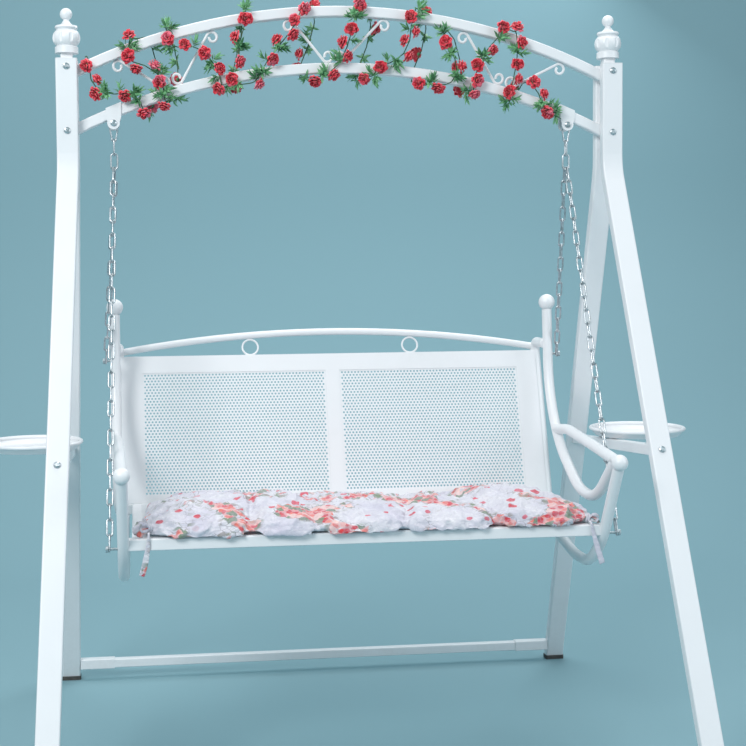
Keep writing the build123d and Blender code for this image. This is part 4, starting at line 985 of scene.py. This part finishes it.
def cushion_ring(share):
    """Closed section of the cushion at one place along it."""
    ends = min((0.5 - abs(share)) * CUSHION_LENGTH / END_RUN, 1)
    narrow = 0.42 + 0.58 * sqrt(max(1 - (1 - ends) ** 2, 0))
    half = CUSHION_HALF_DEPTH * narrow
    middle = CUSHION_MIDDLE.y - (CUSHION_HALF_DEPTH - half) * 0.62
    ring = []
    for side, order in ((1, range(SECTION_STEPS + 1)), (-1, range(SECTION_STEPS - 1, 0, -1))):
        for step in order:
            across = -cos(pi * step / SECTION_STEPS)
            edge = (1 - abs(across) ** EDGE_POWER) ** 0.5
            top = cushion_top(share, across)
            belly = BELLY_SHARE * top
            pinch = gather_depth(share, across)
            bulge = (12 - 20 * pinch) * MM * abs(across) ** 6 if across < 0 else 0
            if side > 0:
                z = belly + (top - belly) * edge - 21 * MM * pinch * edge
            else:
                z = belly * (1 - edge)
            y = middle + across * half - bulge * ends
            ring.append((y, CUSHION_LOW.z + BELLY_LIFT + z - hang_over(y)))
    return ring


def neck(knot, root):
    """Corner of the cushion drawn to its knot: a cone that runs into the body."""
    turn, origin = frame_from(root, knot - root, (0, 0, 1))
    points = []
    for ring in range(NECK_RINGS + 1):
        share = ring / NECK_RINGS
        for side in range(NECK_SIDES):
            local = round_point((19 - 13 * share ** 0.7) * MM, 2 * pi * side / NECK_SIDES,
                                (knot - root).length * share)
            point = origin + turn @ local
            point.z = max(point.z, CUSHION_LOW.z + BELLY_LIFT)
            points.append(point)
    return points, tube_faces(NECK_RINGS + 1, NECK_SIDES) + end_faces(NECK_RINGS + 1, NECK_SIDES)


def cushion_shell():
    """Closed shell of the cushion before it is filled out."""
    points = []
    for column in range(SECTION_COLUMNS + 1):
        share = 0.75 * (column / SECTION_COLUMNS - 0.5) - 0.5 * cos(pi * column / SECTION_COLUMNS) * 0.25
        x = CUSHION_MIDDLE.x + share * (CUSHION_LENGTH - 6 * MM)
        points += [(x, y, z) for y, z in cushion_ring(share)]
    rings, sides = SECTION_COLUMNS + 1, 2 * SECTION_STEPS
    shape = Shape()
    shape.add(points, tube_faces(rings, sides) + end_faces(rings, sides))
    for knot, root in zip(KNOTS, NECK_ROOTS):
        shape.add(*neck(knot, root))
    return shape


def bake_modifiers(made):
    """Apply the modifiers of a piece to its mesh."""
    graph = bpy.context.evaluated_depsgraph_get()
    result = bpy.data.meshes.new_from_object(made.evaluated_get(graph))
    made.modifiers.clear()
    old = made.data
    made.data = result
    bpy.data.meshes.remove(old)


def fill_out(made):
    """Swell the cushion with a short cloth simulation, and keep each point near its start."""
    remesh = made.modifiers.new("even", "REMESH")
    remesh.mode = "VOXEL"
    remesh.voxel_size = VOXEL_SIZE
    bake_modifiers(made)
    start = mesh_places(made.data)
    cloth = made.modifiers.new("filling", "CLOTH")
    settings = cloth.settings
    settings.quality = 5
    settings.mass = 0.25
    settings.use_pressure = True
    settings.uniform_pressure_force = 2.0
    settings.tension_stiffness = 12
    settings.compression_stiffness = 4
    settings.shear_stiffness = 4
    settings.bending_stiffness = 0.15
    settings.shrink_min = -0.10
    settings.effector_weights.gravity = 0
    cloth.collision_settings.use_self_collision = False
    scene = bpy.context.scene
    for step in range(1, LAST_CLOTH_FRAME + 1):
        scene.frame_set(step)
    bake_modifiers(made)
    move = mesh_places(made.data) - start
    far = np.linalg.norm(move, axis=1, keepdims=True)
    move *= np.minimum(1, SWELL_LIMIT / np.maximum(far, 1e-9))
    move_points(made.data, start + move)
    scene.frame_set(1)


def ridged(x, y, z, power):
    """Sharp crests with soft hollows between them, from 0 to 1."""
    return max(1 - abs(noise.noise(Vector((x, y, z)))) * 2.4, 0) ** power


def knot_folds(place):
    """Pleats that run out from the two knots."""
    height = 0.0
    for knot, inward in zip(KNOTS, (1, -1)):
        away = place - knot
        reach = away.length
        if reach > FOLD_REACH:
            continue
        run = max(away.x * inward, 8 * MM)
        angle = atan2(away.y, run) + atan2(away.z, run) * 1.4
        fade = min(reach / 0.012, 1) * exp(-(reach / 0.075) ** 2)
        height += 3.4 * MM * fade * sin(11 * angle + 1.5 * noise.noise(place * 20))
    return height


def wrinkle(x, y, z, share, across):
    """Height of the crumples at a place on the cushion."""
    drawn = gather_depth(share, across)
    warp = noise.noise(Vector((x * 10, y * 10, 4.0))) * 0.02
    lump = noise.noise(Vector((x * 14, y * 10, z * 12 + 3.1)))
    ridge = ridged((x + warp) * 24 + 7, (y + warp) * 15, z * 20, 2)
    crease = ridged((x - warp) * 46, (y + warp) * 34 + 2.2, z * 40, 2)
    fine = ridged(x * 85, y * 70 + 5.0, z * 80, 2)
    pleat = sin((y + 0.8 * z) * 290 + 7 * noise.noise(Vector((x * 14, y * 14, 5.0))))
    return (6.0 * lump + 8.0 * ridge + 5.4 * crease + 2.4 * fine + 3.4 * pleat * drawn - 6.4) * MM


def crumple(made):
    """Gathers and wrinkles, each pushed along the cloth's normal."""
    mesh = made.data
    mesh.update()
    normals = [vertex.normal.copy() for vertex in mesh.vertices]
    places = mesh_places(mesh)
    for index, (x, y, z) in enumerate(places):
        share = limited((x - CUSHION_MIDDLE.x) / CUSHION_LENGTH, -0.5, 0.5)
        across = limited((y - CUSHION_MIDDLE.y) / CUSHION_HALF_DEPTH, -1, 1)
        above = limited((z + hang_over(y) - CUSHION_LOW.z - 2 * MM) / (12 * MM), 0, 1)
        place = Vector((x, y, z))
        push = wrinkle(x, y, z, share, across) * (0.2 + 0.8 * above)
        push += knot_folds(place) * (0.3 + 0.7 * above)
        moved = place + normals[index] * push
        moved.z = max(moved.z, CUSHION_LOW.z + 0.2 * MM - hang_over(moved.y))
        places[index] = moved
    move_points(mesh, places)


def lay_print(mesh):
    """Cloth coordinates in metres: along the cushion, and over it from front to back."""
    places = mesh_places(mesh)
    top = CUSHION_LOW.z + 50 * MM
    off = places[:, 1] - CUSHION_MIDDLE.y
    over = off + np.sign(off) * np.maximum(top - places[:, 2], 0) * np.minimum(np.abs(off) / 0.12, 1)
    lay_uvs(mesh, np.stack([places[:, 0] + 1.0, over + 1.0], axis=1))


def make_cushion():
    made = piece("seat_cushion_cloth", cushion_shell(), "swing", "floral_fabric", "seat_cushion")
    fill_out(made)
    crumple(made)
    mesh = made.data
    move_points(mesh, np.clip(mesh_places(mesh), np.array(CUSHION_LOW) - ROOM_BELOW,
                              np.array(CUSHION_HIGH) + ROOM_ABOVE))
    lay_print(mesh)
    mesh.polygons.foreach_set("use_smooth", [True] * len(mesh.polygons))
    if not mesh.materials:
        mesh.materials.append(floral)
    finer = made.modifiers.new("finer", "SUBSURF")
    finer.levels = finer.render_levels = 1


make_cushion()


# Ties that hold the cushion to the front rail
# Half section of a strap: shares of its half width and half thickness, with a narrow hem at each edge
STRAP_TOP = ((-1, 0.4), (-0.8, 1.0), (0, 0.7), (0.8, 1.0), (1, 0.4))
STRAP_RIPPLE = 0.8 * MM


def strap(centres, widths, thickness, across):
    """Flat strap along a line of points, with a narrow hem."""
    points, uvs = [], []
    run = 0.0
    count, sides = len(centres), 2 * len(STRAP_TOP)
    for index, (centre, width) in enumerate(zip(centres, widths)):
        before, after = centres[max(index - 1, 0)], centres[min(index + 1, count - 1)]
        heading = (after - before).normalized()
        side = (across - heading * across.dot(heading)).normalized()
        out = heading.cross(side)
        if index:
            run += (centre - before).length
        ripple = STRAP_RIPPLE * sin(index * 1.9)
        for face, order in ((1, STRAP_TOP), (-1, STRAP_TOP[::-1])):
            for share, lift in order:
                rise = face * lift * thickness / 2 + ripple
                points.append(centre + side * (share * width / 2) + out * rise)
                uvs.append((0.5 + share * width / 2, run + (0.6 if face > 0 else 0.65)))
    last = (count - 1) * sides
    faces = turned(tube_faces(count, sides))
    faces += [tuple(range(sides)), tuple(reversed(range(last, last + sides)))]
    return points, faces, uvs


def curve_points(controls, count):
    """Smooth line through control points."""
    result = []
    last = len(controls) - 1
    for step in range(count):
        place = step / (count - 1) * last
        index = min(int(place), last - 1)
        t = place - index
        p0 = Vector(controls[max(index - 1, 0)])
        p1, p2 = Vector(controls[index]), Vector(controls[index + 1])
        p3 = Vector(controls[min(index + 2, last)])
        result.append(0.5 * ((2 * p1) + (p2 - p0) * t + (2 * p0 - 5 * p1 + 4 * p2 - p3) * t * t
                             + (3 * p1 - p0 - 3 * p2 + p3) * t ** 3))
    return result


EAR_RINGS, EAR_STEPS = 7, 18
EAR_HALF_THICKNESS = 0.9 * MM


def ear_rim():
    """Points round the open edge of one face of an ear, in order."""
    row = EAR_STEPS + 1
    return ([ring * row for ring in range(EAR_RINGS + 1)]
            + [EAR_RINGS * row + step for step in range(1, row)]
            + [ring * row + EAR_STEPS for ring in range(EAR_RINGS - 1, -1, -1)]
            + list(range(EAR_STEPS - 1, 0, -1)))


def ruffled_ear(knot, outward, spread, length, half_angle, seed):
    """Loose end of the cloth beyond a knot: a ruffled fan with two faces and a hem."""
    outward = outward.normalized()
    spread = (spread - outward * spread.dot(outward)).normalized()
    normal = outward.cross(spread)
    points, uvs = [], []
    for lift in (EAR_HALF_THICKNESS, -EAR_HALF_THICKNESS):
        for ring in range(EAR_RINGS + 1):
            share = ring / EAR_RINGS
            for step in range(EAR_STEPS + 1):
                angle = half_angle * (2 * step / EAR_STEPS - 1)
                reach = length * share * (0.86 + 0.14 * cos(angle * 3 + seed))
                wave = (4.2 * MM * share * sin(step * 1.35 + seed)
                        + 1.2 * MM * sin(step * 2.9 + seed * 2) * share)
                bow = 7 * MM * sin(pi * share) * cos(angle)
                point = knot + outward * (reach * cos(angle)) + spread * (reach * sin(angle))
                point = point + normal * (wave + lift) + Vector((0, 0, bow))
                point.z = max(point.z, CUSHION_LOW.z + 0.3 * MM)
                points.append(point)
                uvs.append((0.62 + reach * 0.9, 1.16 + angle * 0.05 + seed * 0.1))
    layer = (EAR_RINGS + 1) * (EAR_STEPS + 1)
    faces = turned(grid_faces(EAR_RINGS, EAR_STEPS)) + grid_faces(EAR_RINGS, EAR_STEPS, layer)
    rim = ear_rim()
    faces += [(here, here + layer, after + layer, after) for here, after in zip(rim, rim[1:] + rim[:1])]
    return points, faces, uvs


def knot_turns(knot, axis, radius):
    """Two turns of the tape round the drawn corner, one beside the other."""
    turn, origin = frame_from(knot, axis, (0, 0, 1))
    steps = 24
    for shift, size in ((-2.6 * MM, 1.0), (2.2 * MM, 0.86)):
        angles = [2 * pi * step / steps for step in range(steps + 1)]
        ring = [origin + turn @ round_point(radius * size, angle, shift + 0.8 * MM * sin(2 * angle))
                for angle in angles]
        yield strap(ring, [4.6 * MM] * len(ring), 2.6 * MM, axis)


# Hanging tapes in mm: X as in the frame, Y from the front of the rail and Z from its top
TAPE_ROUTES = (
    ((-481, 19, 12), (-482, -2, 11), (-483, -4, -8), (-487, -5, -34), (-492, -4.5, -58), (-498, -4, -79)),
    ((501, 15, 10), (504, -2.5, 5), (508, -4.5, -14), (514, -5.5, -38), (521, -6, -62), (529, -6, -86)))
TAPE_POINTS, LOOP_POINTS = 34, 22
TAPE_NARROW, TAPE_WIDER = 5, 8
# Small loop of tape beside a knot, in mm from it: X outwards, then Y and Z
LOOP_ROUTE = ((1, -4, 3), (9, -11, 11), (20, -9, 6), (15, -10, -5), (2, -6, -3))


def make_ties():
    """Knotted corners of the cushion with their loose ears, and the tapes that hang from them."""
    rail_low, rail_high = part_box("seat_front_rail")
    cloud = Shape()

    def add(part, shift=(0, 0)):
        points, faces, uvs = part
        cloud.add(points, faces, [(u + shift[0], v + shift[1]) for u, v in uvs])

    for knot, route, side in zip(KNOTS, TAPE_ROUTES, (-1, 1)):
        controls = [(x * MM, rail_low.y + y * MM, rail_high.z + z * MM) for x, y, z in route]
        line = curve_points(controls, TAPE_POINTS)
        widths = [(TAPE_NARROW + TAPE_WIDER * limited((index - 8) / 14, 0, 1)) * MM
                  for index in range(TAPE_POINTS)]
        widths[-1] *= 0.9
        add(strap(line, widths, 1.5 * MM, Vector((1, 0.15, 0.1 * side))), (0.37 + 0.2 * side, 0.11))
        loop = curve_points([knot + Vector((side * x, y, z)) * MM for x, y, z in LOOP_ROUTE], LOOP_POINTS)
        add(strap(loop, [5.5 * MM] * LOOP_POINTS, 1.4 * MM, Vector((0.3, 0.5, 1))), (0.2, 0.4))
        axis = Vector((side, -0.45, -0.05)).normalized()
        for turn in knot_turns(knot, axis, 7.4 * MM):
            add(turn, (0.2, 0.3))
    left, right = KNOTS
    add(ruffled_ear(left, Vector((-1, 0.25, 0.05)), Vector((0, 0.62, 0.78)), 37 * MM, radians(62), 0.7))
    add(ruffled_ear(right, Vector((1, 0.1, -0.22)), Vector((0, 0.8, 0.6)), 29 * MM, radians(30), 2.2))
    piece("cushion_tie_straps", cloud, "swing", "floral_fabric", "cushion_ties")


make_ties()


# Camera at the photograph's angle
CAMERA_PLACE = Vector((-0.49931, -3.28302, 1.14272))
CAMERA_YAW = 0.120132
CAMERA_PITCH = -0.050642
CAMERA_ROLL = -0.009258
CAMERA_LENS = 66.38
CAMERA_SHIFT = (0.0932, -0.0447)
SENSOR_WIDTH = 36


def make_camera():
    """Camera from its place and three turns, level before the roll."""
    forward = Vector((sin(CAMERA_YAW) * cos(CAMERA_PITCH), cos(CAMERA_YAW) * cos(CAMERA_PITCH),
                      sin(CAMERA_PITCH)))
    right = Vector((cos(CAMERA_YAW), -sin(CAMERA_YAW), 0))
    up = right.cross(forward)
    right_rolled = right * cos(CAMERA_ROLL) + up * sin(CAMERA_ROLL)
    up_rolled = up * cos(CAMERA_ROLL) - right * sin(CAMERA_ROLL)
    data = bpy.data.cameras.new("studio_camera")
    data.lens = CAMERA_LENS
    data.sensor_width = SENSOR_WIDTH
    data.shift_x, data.shift_y = CAMERA_SHIFT
    camera = put("studio_camera", data)
    turn = Matrix((right_rolled, up_rolled, -forward)).transposed().to_4x4()
    camera.matrix_world = Matrix.Translation(CAMERA_PLACE) @ turn
    bpy.context.scene.camera = camera


make_camera()


# Floor, backdrop and soft light
FLOOR_COLOUR = (0.24, 0.405, 0.45, 1)
SEEN_WORLD = (0.22, 0.39, 0.44, 1)
WORLD_LIGHT = (0.78, 0.86, 0.94, 1)
WORLD_STRENGTH = 0.50
FLOOR_FRONT, FLOOR_BACK, FLOOR_HALF = -11.0, 0.9, 10.0
WALL_Y, WALL_TOP, WALL_BEND, BEND_STEPS = 3.1, 6.0, 1.6, 12
# Each lamp: name, place, what it faces, width and depth, power and colour
LAMPS = (
    ("key_light", (-2.6, -3.4, 3.4), (0, 0, 0.9), (1.9, 1.6), 150, (1, 1, 1)),
    ("fill_light", (3.4, -2.6, 2.2), (0, 0, 0.9), (2.4, 2.4), 46, (0.94, 0.97, 1.0)),
    ("top_light", (0.3, 0.3, 4.2), (0, 0, 0.8), (2.4, 2.0), 56, (1, 1, 1)),
    ("rear_light", (1.5, 2.6, 3.2), (0, 0.4, 1.0), (2.0, 1.5), 36, (0.9, 0.95, 1.0)))


def stage_material():
    """Matt paint that is seen from its front only."""
    made = bpy.data.materials.new("studio_floor")
    made.use_nodes = True
    net = Net(made.node_tree)
    hidden_side = net.node("ShaderNodeNewGeometry").outputs["Backfacing"]
    net.fill(made.node_tree.nodes["Principled BSDF"], Base_Color=FLOOR_COLOUR, Roughness=0.9,
             Alpha=net.math("SUBTRACT", 1.0, hidden_side))
    return made


def make_stage():
    """Pale floor that curves up into a backdrop, which views from behind see through."""
    profile = [(FLOOR_FRONT, 0.0), (FLOOR_BACK, 0.0)]
    for step in range(1, BEND_STEPS + 1):
        angle = pi / 2 * step / BEND_STEPS
        profile.append((WALL_Y - WALL_BEND * (1 - sin(angle)), WALL_BEND * (1 - cos(angle))))
    profile.append((WALL_Y, WALL_TOP))
    shape = Shape()
    shape.add([(x, y, z) for y, z in profile for x in (-FLOOR_HALF, FLOOR_HALF)],
              grid_faces(len(profile) - 1, 1))
    mesh = mesh_from("studio_floor", shape, smooth=True)
    mesh.materials.append(stage_material())
    floor = put("studio_floor", mesh)


def lamp(name, place, target, size, power, colour):
    data = bpy.data.lights.new(name, "AREA")
    data.shape = "RECTANGLE"
    data.size, data.size_y = size
    data.energy = power
    data.color = colour
    made = put(name, data)
    made.location = place
    made.rotation_euler = (Vector(target) - Vector(place)).to_track_quat("-Z", "Y").to_euler()


def make_world():
    """World that lights the object with one colour and shows another behind it."""
    world = bpy.data.worlds.new("studio_world")
    bpy.context.scene.world = world
    world.use_nodes = True
    net = Net(world.node_tree)
    light = net.fill(world.node_tree.nodes["Background"], Color=WORLD_LIGHT, Strength=WORLD_STRENGTH)
    seen = net.fill(net.node("ShaderNodeBackground"), Color=SEEN_WORLD)
    rays = net.node("ShaderNodeLightPath").outputs
    looked_at = net.math("MAXIMUM", rays["Is Camera Ray"], rays["Is Glossy Ray"])
    choose = net.node("ShaderNodeMixShader")
    net.feed(choose.inputs[0], net.math("MAXIMUM", looked_at, rays["Is Transmission Ray"]))
    net.feed(choose.inputs[1], light.outputs[0])
    net.feed(choose.inputs[2], seen.outputs[0])
    net.feed(world.node_tree.nodes["World Output"].inputs[0], choose.outputs[0])


make_stage()
make_world()
for settings in LAMPS:
    lamp(*settings)
bpy.context.scene.view_settings.view_transform = "Standard"

bpy.context.view_layer.update()
